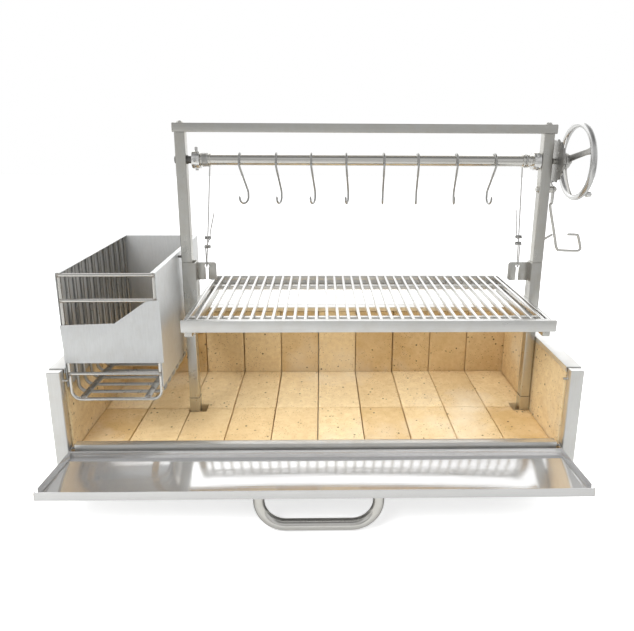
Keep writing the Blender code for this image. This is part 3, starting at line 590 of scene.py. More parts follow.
def row_across(name, node, notches=()):
    """Ten bricks side by side. The outermost two reach the ends of the CAD node."""
    low, high = span(node)
    joints = [i * BRICK for i in range(-4, 5)]
    starts = [low.x, *(x + JOINT / 2 for x in joints)]
    ends = [*(x - JOINT / 2 for x in joints), high.x]
    lows = [(x, low.y, low.z) for x in starts]
    highs = [(x, high.y, high.z) for x in ends]
    brick_row(name, node, lows, highs, notches)


def firebricks():
    (left_low, left_high), (right_low, right_high) = (span(f"post_socket_{side}") for side in SIDES)
    notch_x = (
        (left_low.x - NOTCH_OUTER, left_high.x + NOTCH_INNER),
        (right_low.x - NOTCH_INNER, right_high.x + NOTCH_OUTER),
    )
    notches = [((a, NOTCH_Y[0], -1), (b, NOTCH_Y[1], 1)) for a, b in notch_x]
    row_across("firebricks_front_row", "floor_bricks_front", notches)
    row_across("firebricks_back_row", "floor_bricks_back", notches)
    row_across("firebricks_back_wall", "back_wall_bricks")
    for side in SIDES:
        node = f"{side}_wall_bricks"
        low, high = span(node)
        lows = [(low.x, low.y, low.z), (low.x, JOINT, low.z)]
        highs = [(high.x, 0, high.z), (high.x, high.y, high.z)]
        brick_row(f"firebricks_{side}_wall", node, lows, highs)


firebricks()
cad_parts["insulation_board"].data.materials[0] = LOOKS["board"]


# Firebox sheet metal

CAP_INNER_X, CAP_INNER_Y = 0.574, 0.2295
COLUMN_INNER_X, COLUMN_WIDTH, COLUMN_CORNER = 0.5765, 0.031, 0.0022
COLUMN_UNDER_CAP = 0.0019
LATCH_Y, LATCH_Z, LATCH_RADIUS = -0.21, 0.184, 0.00275
LATCH_PIN = [(0, LATCH_RADIUS), (0.0112, LATCH_RADIUS), (0.0120, LATCH_RADIUS - 0.0008)]
LATCH_WELD = [(0, 0.0048), (0.0006, 0.0044), (0.0016, 0.0031), (0.0018, 0.0028)]
HINGE_PIN_RADIUS = 0.003


def firebox_case():
    low, high = span("firebox_shell")
    shape = worked("firebox_shell", 0.0007)
    piece("firebox_case", shape, "sheet_x", "firebox", ("firebox_shell",))
    beads = bmesh.new()
    for sign in (-1, 1):
        corner = (sign * (high.x - 0.001), high.y - 0.001, high.z - 0.0002)
        inner = (sign * CAP_INNER_X, CAP_INNER_Y, high.z - 0.0002)
        bead(beads, [corner, inner], WELD["mitre"])
        bead(beads, [corner, (corner[0], corner[1], low.z + 0.004)], WELD["case_corner"])
    piece("firebox_corner_welds", beads, "weld", "firebox")
    sill = worked("sill_plate", 0.0006)
    piece("sill_channel", sill, "sheet_x", "firebox", ("sill_plate",))


def front_column(side, sign):
    """A column, its latch pin with the weld round it, and its hinge pin."""
    node = f"front_column_{side}"
    low, high = span(node)
    top = span("firebox_shell")[1].z - COLUMN_UNDER_CAP
    inner = sign * COLUMN_INNER_X
    start, end = sorted((inner, inner + sign * COLUMN_WIDTH))
    shape = bmesh.new()
    bar(shape, (start, low.y, low.z), (end, high.y, top), 2, COLUMN_CORNER, 0.0009)
    piece(f"column_{side}", shape, "sheet_z", "firebox", (node,))
    latch = bmesh.new()
    lathe(latch, (inner + sign * 0.002, LATCH_Y, LATCH_Z), -X * sign, LATCH_PIN, 20)
    lathe(latch, (inner + sign * 0.0002, LATCH_Y, LATCH_Z), -X * sign, LATCH_WELD, 20)
    piece(f"latch_pin_{side}", latch, "tube", "firebox")
    node = f"hinge_pin_{side}"
    low, high = span(node)
    middle = (low + high) / 2
    ends = [(x, middle.y, middle.z) for x in (low.x, high.x)]
    shape = bmesh.new()
    rod(shape, *ends, HINGE_PIN_RADIUS, 20, 0.0007)
    piece(f"door_pin_{side}", shape, "tube", "firebox", (node,))


firebox_case()
for side, sign in (("left", -1), ("right", 1)):
    front_column(side, sign)

# Posts, sockets and top beam

POST_CORNER = 0.0026
FOOT_CORNER = POST_CORNER + 0.001
BEAM_CORNER = 0.0022
BOLT_RADIUS, BOLT_LENGTH = 0.004, 0.034
BOLT_FLATS, BOLT_HEAD, BOLT_WASHER = 0.0061, 0.0038, 0.0094


def cut_corners(low, high, corner):
    """The outline of a rectangle with its corners cut off, from its lower left round to it again."""
    (a, b), (c, d) = low, high
    ring = [(a + corner, b), (c - corner, b), (c, b + corner), (c, d - corner)]
    ring += [(c - corner, d), (a + corner, d), (a, d - corner), (a, b + corner)]
    return [*ring, ring[0]]


def post(side):
    low, high = span(f"post_{side}")
    shape = bmesh.new()
    bar(shape, low, high, 2, POST_CORNER, 0.0003, 4)
    piece(f"upright_{side}", shape, "post", "firebox", (f"post_{side}",))
    cup_low, cup_high = span(f"post_socket_{side}")
    shape = bmesh.new()
    bar(shape, cup_low, cup_high, 2, FOOT_CORNER, 0.0005, 4)
    piece(f"upright_foot_{side}", shape, "post", "firebox", (f"post_socket_{side}",))
    ring = cut_corners(low.xy, high.xy, 0.0025)
    shape = bmesh.new()
    bead(shape, [(x, y, cup_high.z + 0.0002) for x, y in ring], WELD["foot"])
    # The bead is real, but it takes the dark look: its near-black is painted shade in the seam where the
    # socket meets the post.
    piece(f"foot_weld_{side}", shape, "dark", "firebox", slot="stainless")


def top_beam():
    low, high = span("top_beam")
    shape = bmesh.new()
    bar(shape, low, high, 0, BEAM_CORNER, 0.0006, 4)
    piece("beam", shape, "beam", "firebox", ("top_beam",))
    ring = [(y, max(z, low.z + 0.0002)) for y, z in cut_corners(low.yz, high.yz, 0.003)]
    shape = bmesh.new()
    for x in (low.x + 0.0012, high.x - 0.0012):
        bead(shape, [(x, y, z) for y, z in ring], WELD["beam_end"])
    piece("beam_cap_welds", shape, "weld", "firebox")
    shank = [(0, BOLT_RADIUS - 0.0006), (0.0006, BOLT_RADIUS), (BOLT_LENGTH, BOLT_RADIUS)]
    for side in SIDES:
        node = f"beam_bolt_{side}"
        bolt_low, bolt_high = span(node)
        middle = (bolt_low + bolt_high) / 2
        shape = bmesh.new()
        at = (middle.x, middle.y, high.z)
        bolt_head(shape, at, Z, BOLT_FLATS, BOLT_HEAD, washer=BOLT_WASHER)
        lathe(shape, (middle.x, middle.y, bolt_low.z), Z, shank, 20)
        piece(f"beam_screw_{side}", shape, "tube", "firebox", (node,))


for side in SIDES:
    post(side)
top_beam()

# Winch: everything that turns with the shaft

SHAFT_Y, SHAFT_Z = -0.004, 0.6662
AXIS = Vector((0, SHAFT_Y, SHAFT_Z))
SHAFT_RADIUS, AXLE_RADIUS = 0.01335, 0.007
TUBE_X = (-0.3032, 0.5433)
COLLAR_RADIUS = 0.022
SCREW_FAR = 0.0255
FIRST_SCREW = {"left": (90, 0.0305), "right": (138, SCREW_FAR)}
SPOOLS = {"left": (-0.2846, -0.2826, -0.2630, -0.2600), "right": (0.5010, 0.5060, 0.5120, 0.5170)}
SLEEVE, FLANGE = 0.0144, 0.0165
CABLE_RADIUS = 0.0015
CABLE_TOP_X = {"left": -0.2655, "right": 0.5088}
CABLE_PITCH = 0.0031
RIVET_COUNT, RIVET_REACH = 4, 0.030
RIVET = [(-0.0005, 0.0032), (0.0006, 0.0031), (0.0012, 0.0022), (0.0013, 0.0008)]
WHEEL_X, WHEEL_RADIUS, WHEEL_TUBE = 0.637, 0.0886, 0.0074
HUB = [
    (0.6000, 0.0155), (0.6006, 0.0175), (0.6030, 0.0178), (0.6040, 0.0205), (0.6072, 0.0205),
    (0.6082, 0.0197), (0.6118, 0.0194), (0.6150, 0.0174), (0.6172, 0.0138), (0.6180, 0.0115),
    (0.6180, 0.0085),
]
SPOKES = (159, 39, -80)
SPOKE_START_X, SPOKE_END_X = 0.6105, WHEEL_X - 0.0008
SPOKE_REACH = (0.0150, WHEEL_RADIUS - 0.0040)
SPINNER_AT = math.radians(-121)
SPINNER = [
    (0, 0.0046), (0.0003, 0.0052), (0.0012, 0.0052), (0.0016, 0.0046), (0.0021, 0.0060),
    (0.0036, 0.0068), (0.0066, 0.0075), (0.0100, 0.0073), (0.0121, 0.0068), (0.0124, 0.0057),
    (0.0131, 0.0057), (0.0135, 0.0064), (0.0144, 0.0059), (0.0151, 0.0045), (0.0154, 0.0024),
]


def hook_bar_shaft():
    """The axle's two ends, and between them the tube that the hooks hang on."""
    low, high = span("winch_shaft")
    left, right = TUBE_X
    profile = [
        (low.x, AXLE_RADIUS - 0.001), (low.x + 0.001, AXLE_RADIUS),
        (left - 0.0003, AXLE_RADIUS), (left, AXLE_RADIUS + 0.0003),
        (left, SHAFT_RADIUS - 0.001), (left + 0.001, SHAFT_RADIUS),
        (right - 0.001, SHAFT_RADIUS), (right, SHAFT_RADIUS - 0.001),
        (right, AXLE_RADIUS + 0.0003), (right + 0.0003, AXLE_RADIUS),
        (high.x - 0.001, AXLE_RADIUS), (high.x, AXLE_RADIUS - 0.001),
    ]
    shape = bmesh.new()
    lathe(shape, AXIS, X, profile, 48)
    piece("hook_bar_shaft", shape, "tube", "winch", ("winch_shaft",))


def collar(side):
    """A collar with four radial screws. The first one may stand out further."""
    node = f"shaft_collar_{side}"
    low, high = span(node)
    bore = SHAFT_RADIUS + 0.0001
    profile = [
        (low.x, bore), (low.x, COLLAR_RADIUS - 0.0014), (low.x + 0.0004, COLLAR_RADIUS - 0.0004),
        (low.x + 0.0014, COLLAR_RADIUS), (high.x - 0.0014, COLLAR_RADIUS),
        (high.x - 0.0004, COLLAR_RADIUS - 0.0004), (high.x, COLLAR_RADIUS - 0.0014), (high.x, bore),
    ]
    shape = bmesh.new()
    lathe(shape, AXIS, X, profile, 48, loop=True)
    middle = ((low.x + high.x) / 2, SHAFT_Y, SHAFT_Z)
    first, tallest = FIRST_SCREW[side]
    for quarter in range(4):
        far = SCREW_FAR if quarter else tallest
        turn = math.radians(first + 90 * quarter)
        profile = [(0.0175, 0.0042), (far - 0.0006, 0.0042), (far, 0.0036)]
        profile += [(far, 0.0023, 1), (far - 0.0028, 0.0022, 1)]
        lathe(shape, middle, (0, math.cos(turn), math.sin(turn)), profile, 24)
    piece(f"collar_{side}", shape, "chrome", "winch", (node,))


def cable_spool(side):
    """A sleeve between two flanges, with the turns of cable on it."""
    a, b, c, d = SPOOLS[side]
    ease = 0.0005
    bore = SHAFT_RADIUS + 0.0001
    profile = [
        (a, bore), (a, FLANGE - ease), (a + ease, FLANGE), (b - ease, FLANGE),
        (b, FLANGE - ease), (b, SLEEVE), (c, SLEEVE), (c, FLANGE - ease), (c + ease, FLANGE),
        (d - ease, FLANGE), (d, FLANGE - ease), (d, bore),
    ]
    shape = bmesh.new()
    lathe(shape, AXIS, X, profile, 48, loop=True)
    piece(f"spool_{side}", shape, "tube", "winch", (f"cable_spool_{side}",))
    start = b + 0.0016 if side == "left" else c - 0.0016
    end = CABLE_TOP_X[side]
    turns = max(1, int(abs(end - start) / CABLE_PITCH))
    wound = SLEEVE + CABLE_RADIUS * 0.75
    steps = turns * 24
    path = []
    for i in range(steps + 1):
        turn = -2 * math.pi * turns * (1 - i / steps)
        x = start + (end - start) * i / steps
        path.append((x, SHAFT_Y + wound * math.cos(turn), SHAFT_Z + wound * math.sin(turn)))
    shape = bmesh.new()
    sweep(shape, path, CABLE_RADIUS, 10)
    piece(f"wound_cable_{side}", shape, "rope", "winch")


def ratchet():
    low, high = span("ratchet_wheel")
    shape = worked("ratchet_wheel", 0.0003, 12, 1)
    # The ratchet's darker colour is painted shade.
    piece("ratchet", shape, "ratchet", "winch", ("ratchet_wheel",), sharp=20)
    boss = [
        (high.x - 0.0004, 0.0150), (high.x + 0.0030, 0.0150), (high.x + 0.0038, 0.0142),
        (high.x + 0.0042, 0.0112), (0.5990, 0.0106), (0.5996, 0.0100),
    ]
    shape = bmesh.new()
    lathe(shape, AXIS, X, boss, 36)
    for k in range(RIVET_COUNT):
        turn = math.radians(45 + 360 / RIVET_COUNT * k)
        y, z = SHAFT_Y + RIVET_REACH * math.cos(turn), SHAFT_Z + RIVET_REACH * math.sin(turn)
        lathe(shape, (high.x, y, z), X, RIVET, 16)
        lathe(shape, (low.x, y, z), -X, RIVET, 16)
    piece("ratchet_hub", shape, "cast", "winch")


def spoke(shape, angle):
    """A spoke that dishes outwards, flares at both ends and has a rounded flat section."""
    out = Vector((0, math.cos(math.radians(angle)), math.sin(math.radians(angle))))
    across = X.cross(out)
    near, far = SPOKE_REACH
    rings = []
    for i in range(13):
        t = i / 12
        flare = 0.0018 * max(0.0, 1 - 6 * t) + 0.0036 * max(0.0, 5 * t - 4)
        wide, thick = 0.0086 - 0.0022 * t + flare, 0.0022 - 0.0004 * t + flare * 0.4
        dish = SPOKE_START_X + (SPOKE_END_X - SPOKE_START_X) * t**1.25
        centre = AXIS + X * dish + out * (near + (far - near) * t)
        ring = []
        for k in range(16):
            turn = 2 * math.pi * k / 16
            c, s = math.cos(turn), math.sin(turn)
            sideways = math.copysign(abs(c) ** 0.55, c) * wide
            outwards = math.copysign(abs(s) ** 0.7, s) * thick
            ring.append(centre + across * sideways + X * outwards)
        rings.append(ring)
    skin(shape, rings)


def handwheel():
    shape = bmesh.new()
    circle = arc((SHAFT_Y, SHAFT_Z), WHEEL_RADIUS, 0, 360, 96)[:-1]
    sweep(shape, [(WHEEL_X, y, z) for y, z in circle], WHEEL_TUBE, 20, loop=True)
    piece("wheel_rim", shape, "rim", "winch", ("handwheel",))
    shape = bmesh.new()
    lathe(shape, AXIS, X, HUB, 48)
    bolt_head(shape, (HUB[-1][0], SHAFT_Y, SHAFT_Z), X, 0.0065, 0.0040, washer=0.0088)
    piece("wheel_hub", shape, "cast", "winch", slot="chrome")
    shape = bmesh.new()
    for angle in SPOKES:
        spoke(shape, angle)
    piece("wheel_spokes", shape, "cast", "winch", slot="chrome")
    y, z = WHEEL_RADIUS * math.cos(SPINNER_AT), WHEEL_RADIUS * math.sin(SPINNER_AT)
    shape = bmesh.new()
    lathe(shape, (span("wheel_spinner")[0].x, SHAFT_Y + y, SHAFT_Z + z), X, SPINNER, 36)
    piece("spinner_grip", shape, "chrome", "spinner", ("wheel_spinner",))


hook_bar_shaft()
for side in SIDES:
    collar(side)
for side in SIDES:
    cable_spool(side)
ratchet()
handwheel()

# Bearings, pawl and lever

BUSH_BORE, BUSH_RADIUS, BUSH_FLANGE, BUSH_FLANGE_THICK = 0.0074, 0.0090, 0.0110, 0.0025
PIVOT_Z = 0.597
PIVOT_RADIUS, SPACER_RADIUS = 0.004, 0.0082
PAWL_FACE_X = 0.5878
KEEPER = ((0.5743, 0.003, 0.4669), (0.603, 0.016, 0.4785))
PEG_RADIUS = 0.003
BASKET_PEG_Y, BASKET_PEG_Z = -0.010, 0.426
LEVER = [
    (0.5835, 0.5612), (0.5835, 0.5500), (0.5990, 0.4880), (0.6040, 0.4675), (0.6075, 0.4530),
    (0.6120, 0.4445), (0.6180, 0.4418), (0.6600, 0.4400), (0.6685, 0.4425), (0.6705, 0.4490),
    (0.6620, 0.4780), (0.6566, 0.4820), (0.6333, 0.4830),
]
LEVER_RADIUS = 0.0033


def bearing(side):
    """A bush through the post, with a flange on the post's inner face."""
    node = f"bearing_bush_{side}"
    low, high = span(node)
    post_low, post_high = span(f"post_{side}")
    if side == "left":
        toward, face, nose, back = X, post_high.x + 0.0003, high.x, low.x
    else:
        toward, face, nose, back = -X, post_low.x - 0.0003, low.x, high.x
    reach, outer = abs(nose - face), abs(back - face)
    thick = min(BUSH_FLANGE_THICK, reach)
    flange = [(0, BUSH_BORE), (0, BUSH_FLANGE - 0.0004), (0.0004, BUSH_FLANGE)]
    flange += [(thick - 0.0004, BUSH_FLANGE), (thick, BUSH_FLANGE - 0.0004), (thick, BUSH_RADIUS)]
    flange += [(reach, BUSH_RADIUS), (reach, BUSH_BORE)]
    sleeve = [(-outer, BUSH_BORE), (-outer, BUSH_RADIUS - 0.0002), (-outer + 0.0003, BUSH_RADIUS)]
    sleeve += [(-0.001, BUSH_RADIUS), (-0.001, BUSH_BORE)]
    shape = bmesh.new()
    for profile in (flange, sleeve):
        lathe(shape, (face, SHAFT_Y, SHAFT_Z), toward, profile, 36, loop=True)
    piece(f"bearing_{side}", shape, "dark", "firebox", (node,))


def pawl_bolt():
    low, high = span("post_right")
    end = [(0, PIVOT_RADIUS), (0.0198, PIVOT_RADIUS), (0.0206, PIVOT_RADIUS - 0.0006)]
    spacer = [(0, SPACER_RADIUS), (0.0096, SPACER_RADIUS), (0.0100, SPACER_RADIUS - 0.0004)]
    shape = bmesh.new()
    bolt_head(shape, (low.x - 0.0001, SHAFT_Y, PIVOT_Z), -X, 0.0062, 0.0036, washer=0.0095)
    lathe(shape, (high.x - 0.001, SHAFT_Y, PIVOT_Z), X, end, 24)
    lathe(shape, (high.x + 0.0003, SHAFT_Y, PIVOT_Z), X, spacer, 32)
    bolt_head(shape, (PAWL_FACE_X, SHAFT_Y, PIVOT_Z), X, 0.0058, 0.0034, washer=0.0078)
    piece("pawl_bolt", shape, "tube", "firebox", ("pawl_pivot_bolt",))


def pegs():
    shape = bmesh.new()
    rod(shape, *KEEPER, PEG_RADIUS, 20, 0.0009)
    blob(shape, (0.5745, 0.0031, 0.4670), 0.0040, (0.5, 1, 1))
    piece("keeper_peg", shape, "tube", "firebox", ("lever_keeper",))
    ends = [(corner.x, BASKET_PEG_Y, BASKET_PEG_Z) for corner in span("basket_peg")]
    shape = bmesh.new()
    rod(shape, *ends, PEG_RADIUS, 20, 0.0004)
    piece("basket_dowel", shape, "dark", "firebox", ("basket_peg",))


def pawl_and_lever():
    shape = worked("ratchet_pawl", 0.0005, 14)
    piece("pawl", shape, "cast", "pawl", ("ratchet_pawl",), sharp=24)
    route = through([(x, SHAFT_Y, z) for x, z in LEVER], 6)
    radii = [LEVER_RADIUS] * len(route)
    radii[0], radii[-1], radii[-2] = 0.0024, 0.0018, 0.0030
    shape = bmesh.new()
    sweep(shape, route, radii, 18)
    piece("lever", shape, "tube", "pawl", ("pawl_lever",))
    shape = bmesh.new()
    blob(shape, (0.5845, SHAFT_Y, 0.5612), 0.0042, (0.8, 0.9, 0.7))
    piece("lever_weld", shape, "weld", "pawl", slot="polished_steel")


for side in SIDES:
    bearing(side)
pawl_bolt()
pegs()
pawl_and_lever()

# Door, in the frame of its hinge

HINGE = Matrix.Translation((0, -0.205, 0.010)) @ Matrix.Rotation(math.radians(-3.6), 4, "X")
DOOR_HALF = 0.575
OUTER_Z, FLANGE_Z = -0.0164, 0.0023
REAR_Y, LIP_Y = -0.0213, -0.1852
HANDLE_X, HANDLE_Y, HANDLE_HALF, HANDLE_DROP = 0.003, -0.1616, 0.1257, 0.074
HANDLE_RADIUS, HANDLE_BEND = 0.0118, 0.0565


def door_tray():
    shape = worked("door_panel", 0.0006)
    piece("door_tray", shape, "tray", "door", ("door_panel",))
    shape = bmesh.new()
    bottom = OUTER_Z + 0.001
    for side in (-1, 1):
        x = side * (DOOR_HALF - 0.0006)
        for y, top in ((LIP_Y + 0.0006, FLANGE_Z - 0.001), (REAR_Y - 0.0004, FLANGE_Z - 0.002)):
            bead(shape, [(x, y, top), (x, y, bottom)], WELD["mitre"])
    piece("door_corner_welds", shape, "weld", "door", slot="polished_steel", turn=HINGE)


def door_pull():
    """A bent tube below the door, and the weld round each of its feet."""
    top, corner_z = OUTER_Z - 0.0001, OUTER_Z - HANDLE_DROP + HANDLE_BEND
    inner = HANDLE_HALF - HANDLE_BEND
    route = [(-HANDLE_HALF, top), *arc((-inner, corner_z), HANDLE_BEND, 180, 270, 16)]
    route += [*arc((inner, corner_z), HANDLE_BEND, 270, 360, 16), (HANDLE_HALF, top)]
    shape = bmesh.new()
    sweep(shape, [(HANDLE_X + x, HANDLE_Y, z) for x, z in route], HANDLE_RADIUS, 36)
    piece("door_pull", shape, "tube", "door", ("door_handle",), turn=HINGE)
    shape = bmesh.new()
    for side in (-1, 1):
        foot = (HANDLE_X + side * HANDLE_HALF, HANDLE_Y)
        ring = arc(foot, HANDLE_RADIUS + 0.0004, 0, 360, 28)
        bead(shape, [(x, y, OUTER_Z - 0.0012) for x, y in ring], WELD["handle"])
    piece("door_pull_welds", shape, "weld", "door", slot="polished_steel", turn=HINGE)


door_tray()
door_pull()

# Grate carriage

ARM_LOW, ARM_TOP = 0.2715, 0.2882
CHANNEL_FRONT_Y, CHANNEL_BACK_Y = -0.0205, 0.0125
BAR_COUNT, BAR_WIDTH, BAR_DEPTH = 33, 0.007, 0.012
FIRST_BAR, LAST_BAR = -0.2807, 0.5252
BARS_X = [FIRST_BAR + (LAST_BAR - FIRST_BAR) * i / (BAR_COUNT - 1) for i in range(BAR_COUNT)]
STRIP = 0.006
SUPPORT_Y = (-0.120, 0.150)


def carriage_side(side, out):
    """A channel that slides on its post, the cable's plate and the welds that hold them."""
    node = f"carriage_channel_{side}"
    piece(f"channel_{side}", worked(node, 0.0009), "post", "carriage", (node,))
    node = f"cable_plate_{side}"
    low, high = span(node)
    shape = worked(node, 0.0007, 20)
    piece(f"keyhole_lug_{side}", shape, "post", "carriage", (node,))
    web = low.x if side == "left" else high.x
    shape = bmesh.new()
    for y in (low.y, high.y):
        bead(shape, [(web, y, low.z + 0.001), (web, y, high.z - 0.001)], WELD["plate"])
    x = web - out * 0.0004
    for y in (CHANNEL_FRONT_Y - 0.0015, CHANNEL_BACK_Y):
        bead(shape, [(x, y, ARM_LOW), (x, y, ARM_TOP)], WELD["plate"])
    x = web - out * 0.0003
    ends = (CHANNEL_FRONT_Y + 0.0015, CHANNEL_BACK_Y - 0.0015)
    bead(shape, [(x, y, ARM_TOP) for y in ends], WELD["arm"])
    piece(f"carriage_welds_{side}", shape, "weld", "carriage")


def grate_rods(low, high):
    """The grate's bars, and the strips at both sides that close the row."""
    shape = bmesh.new()
    bottom = high.z - BAR_DEPTH
    start, end = low.y + STRIP - 0.0005, high.y - STRIP + 0.0005
    half = BAR_WIDTH / 2
    for x in BARS_X:
        bar(shape, (x - half, start, bottom), (x + half, end, high.z - 0.0002), 1, 0.0022, 0.0004, 4)
    for x in (low.x, high.x - STRIP):
        bar(shape, (x, low.y, bottom), (x + STRIP, high.y, high.z), 1, 0.0012, 0.0004)
    piece("grate_rods", shape, "bars_y", "carriage", ("grate_bars",))


def grate_cross_strips(low, high):
    """The strips that the bars end on, and the two flat bars under them."""
    shape = bmesh.new()
    bottom = high.z - BAR_DEPTH
    start, end = low.x + 0.0004, high.x - 0.0004
    for y in (low.y, high.y - STRIP):
        bar(shape, (start, y, bottom), (end, y + STRIP, high.z - 0.0001), 0, 0.0012, 0.0004)
    start, end = low.x + 0.001, high.x - 0.001
    for y in SUPPORT_Y:
        bar(shape, (start, y - STRIP, low.z), (end, y + STRIP, bottom + 0.001), 0, 0.0012)
    piece("grate_cross_strips", shape, "sheet_x", "carriage")


def grate_tack_welds(low, high):
    shape = bmesh.new()
    bottom = high.z - BAR_DEPTH
    for x in BARS_X:
        for y in (low.y + STRIP, high.y - STRIP):
            at = (x + CHANCE.uniform(-0.0005, 0.0005), y, high.z - 0.0028)
            blob(shape, at, 0.0030, (1.1, 0.8, 0.8))
        for y in SUPPORT_Y:
            for near in (-0.0024, 0.0024):
                blob(shape, (x + 0.0035, y + near, bottom + 0.0012), 0.0026, (0.8, 1.1, 0.9))
    piece("grate_tack_welds", shape, "weld", "carriage", sharp=60)


carriage_side("left", -1)
carriage_side("right", 1)
shape = worked("grate_frame", 0.0005)
piece("grate_angle_frame", shape, "sheet_x", "carriage", ("grate_frame",))
for make in (grate_rods, grate_cross_strips, grate_tack_welds):
    make(*span("grate_bars"))

# Lifting cables, their clips and tails

CABLE_END_Y, CABLE_END_Z = 0.0052, 0.4865
CABLE_END_X = {"left": -0.2777, "right": 0.5127}
TAIL_TOP = {"left": (-0.2640, 0.0175, 0.527), "right": (0.5055, 0.0175, 0.536)}
TAIL_KNEE_Y, TAIL_KNEE_RISE = 0.0165, 0.014
FRAYED_WIRES, FRAYED_WIRE = 5, 0.00028
CLIP_Z = {"left": (0.448, 0.471), "right": (0.4576, 0.4746)}
CLIP_HALF = (0.0078, 0.0019, 0.0042)
CLIP_BACK_Y = 0.0078
BOW_REACH, BOW_WIRE, BOW_Y = 0.0052, 0.0014, (-0.0020, 0.0102)
NUT = [(0, 0.0026, 1), (0.0017, 0.0026, 1), (0.0020, 0.0023)]
KEYHOLE = {"left": -0.2835, "right": 0.5145}
KEYHOLE_Z = 0.399
LOOP_RADIUS, LOOP_TOP_Z = 0.0048, 0.414
STRANDS = 6


def wire_rope(shape, points, radius, lay=0.013):
    """Six strands twisted round a core, along a path. Each goes round once in a lay's length."""
    points = [Vector(p) for p in points]
    sweep(shape, points, radius * 0.45, 8)
    path = [points[0]]
    for a, b in zip(points, points[1:]):
        count = max(1, round((b - a).length / (lay / 10)))
        path += [a.lerp(b, i / count) for i in range(1, count + 1)]
    for strand in range(STRANDS):
        twisted, gone = [], 0.0
        across = (path[1] - path[0]).orthogonal().normalized()
        for i, point in enumerate(path):
            aim = (path[min(i + 1, len(path) - 1)] - path[max(i - 1, 0)]).normalized()
            across = (across - aim * across.dot(aim)).normalized()
            if i:
                gone += (point - path[i - 1]).length
            turn = 2 * math.pi * (gone / lay + strand / STRANDS)
            spoke = across * math.cos(turn) + aim.cross(across) * math.sin(turn)
            twisted.append(point + spoke * radius * 0.64)
        sweep(shape, twisted, radius * 0.36, 6)


def lifting_cable(side, end):
    """The taut stretch from its top at the spool down to its end at the carriage."""
    top_y = SHAFT_Y + SLEEVE + CABLE_RADIUS + 0.0003
    top = Vector((CABLE_TOP_X[side], top_y, SHAFT_Z))
    shape = bmesh.new()
    wire_rope(shape, [top, end], CABLE_RADIUS)
    node = f"lift_cable_{side}"
    cable = piece(f"lifting_cable_{side}", shape, "rope", None, (node,))
    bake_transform(cable)


def cable_loop(side, end):
    """The cable goes through the keyhole, back up past its clips and ends in a frayed tail."""
    pore_depth_and_shade = KEYHOLE[side]
    lower, upper = CLIP_Z[side]
    bend = [(y, z + KEYHOLE_Z) for y, z in arc((0, 0.003), LOOP_RADIUS, 180, 360, 10)]
    loop = [(pore_depth_and_shade, -LOOP_RADIUS, lower + 0.003), *[(pore_depth_and_shade, y, z) for y, z in bend]]
    loop += [(pore_depth_and_shade, LOOP_RADIUS, LOOP_TOP_Z), end]
    shape = bmesh.new()
    wire_rope(shape, loop, CABLE_RADIUS)
    top = TAIL_TOP[side]
    middle = (pore_depth_and_shade + top[0]) / 2
    tail = [(pore_depth_and_shade, -0.0030, lower), (middle, 0.0070, upper)]
    tail += [(middle, TAIL_KNEE_Y, upper + TAIL_KNEE_RISE), top]
    wire_rope(shape, through(tail, 8), CABLE_RADIUS * 0.9)
    frayed = Vector(top)
    for k in range(FRAYED_WIRES):
        lean = Vector((math.cos(k * 1.26), math.sin(k * 1.26), 0)) * 0.0016
        wire = [frayed - Z * 0.002, frayed + lean + Z * 0.003, frayed + lean * 2.2 + Z * 0.007]
        sweep(shape, wire, FRAYED_WIRE, 5)
    node = f"cable_clips_{side}"
    piece(f"cable_loop_{side}", shape, "rope", "carriage", (node,))


def rope_grips(side, end):
    """Two clips, each a saddle with a U-bolt and its two nuts."""
    pore_depth_and_shade = KEYHOLE[side]
    near, far = BOW_Y
    shape = bmesh.new()
    for height in CLIP_Z[side]:
        x = pore_depth_and_shade + (end.x - pore_depth_and_shade) * (height - LOOP_TOP_Z) / (CABLE_END_Z - LOOP_TOP_Z)
        half = Vector(CLIP_HALF)
        middle = Vector((x, CLIP_BACK_Y - half.y, height))
        bar(shape, middle - half, middle + half, 0, 0.0012, 0.0008)
        bow = [(x - BOW_REACH, far), (x - BOW_REACH, near)]
        bow += arc((x, near), BOW_REACH, 180, 360, 12)[1:-1]
        bow += [(x + BOW_REACH, near), (x + BOW_REACH, far)]
        sweep(shape, [(a, b, height) for a, b in bow], BOW_WIRE, 12)
        for leg in (-1, 1):
            lathe(shape, (x + leg * BOW_REACH, CLIP_BACK_Y, height), Y, NUT, 24)
    piece(f"rope_grips_{side}", shape, "clip", "carriage")


for side in SIDES:
    end = Vector((CABLE_END_X[side], CABLE_END_Y, CABLE_END_Z))
    for make in (lifting_cable, cable_loop, rope_grips):
        make(side, end)

# Hooks

WIRE, CLEAR = 0.0025, 0.0006
WRAP = SHAFT_RADIUS + CLEAR + WIRE
HOOK_BOTTOM, J_RADIUS, J_Y = 0.5600, 0.0145, 0.0
HOOK_X = (-0.1900, -0.1015, -0.0163, 0.0690, 0.1610, 0.2446, 0.3395, 0.4337)
HOOK_TWIST = (40, 20, 23, 15, 7, 10, 9, -8)
HOOK_LEAN = (0.007, 0.0055, 0.0035, 0.003, 0.0, 0.0, 0.0, -0.006)
SHANK_STEPS = 8


def s_hook(x, twist, lean):
    """A hook's route in the frame of the shaft: round the shaft, down, and round below."""
    upper = [(0, y, z) for y, z in arc((0, 0), WRAP, -25, 180, 22)]
    turn = math.radians(twist)
    bend = [(J_RADIUS, 0.012), *arc((0, 0), J_RADIUS, 0, -180, 16)]
    bend += [(-J_RADIUS, 0.0025), (-J_RADIUS, 0.005)]
    centre = Vector((lean, J_Y - SHAFT_Y, HOOK_BOTTOM + J_RADIUS - SHAFT_Z))
    lower = [centre + Vector((out * math.sin(turn), out * math.cos(turn), z)) for out, z in bend]
    start, knee = Vector((0, -WRAP, -0.012)), lower[0]
    stops = [upper[-1], start, start.lerp(knee, 0.5), knee, lower[1]]
    shank = through(stops, SHANK_STEPS)[: -SHANK_STEPS - 1]
    return [AXIS + X * x + Vector(point) for point in (*upper[:-1], *shank, *lower)]


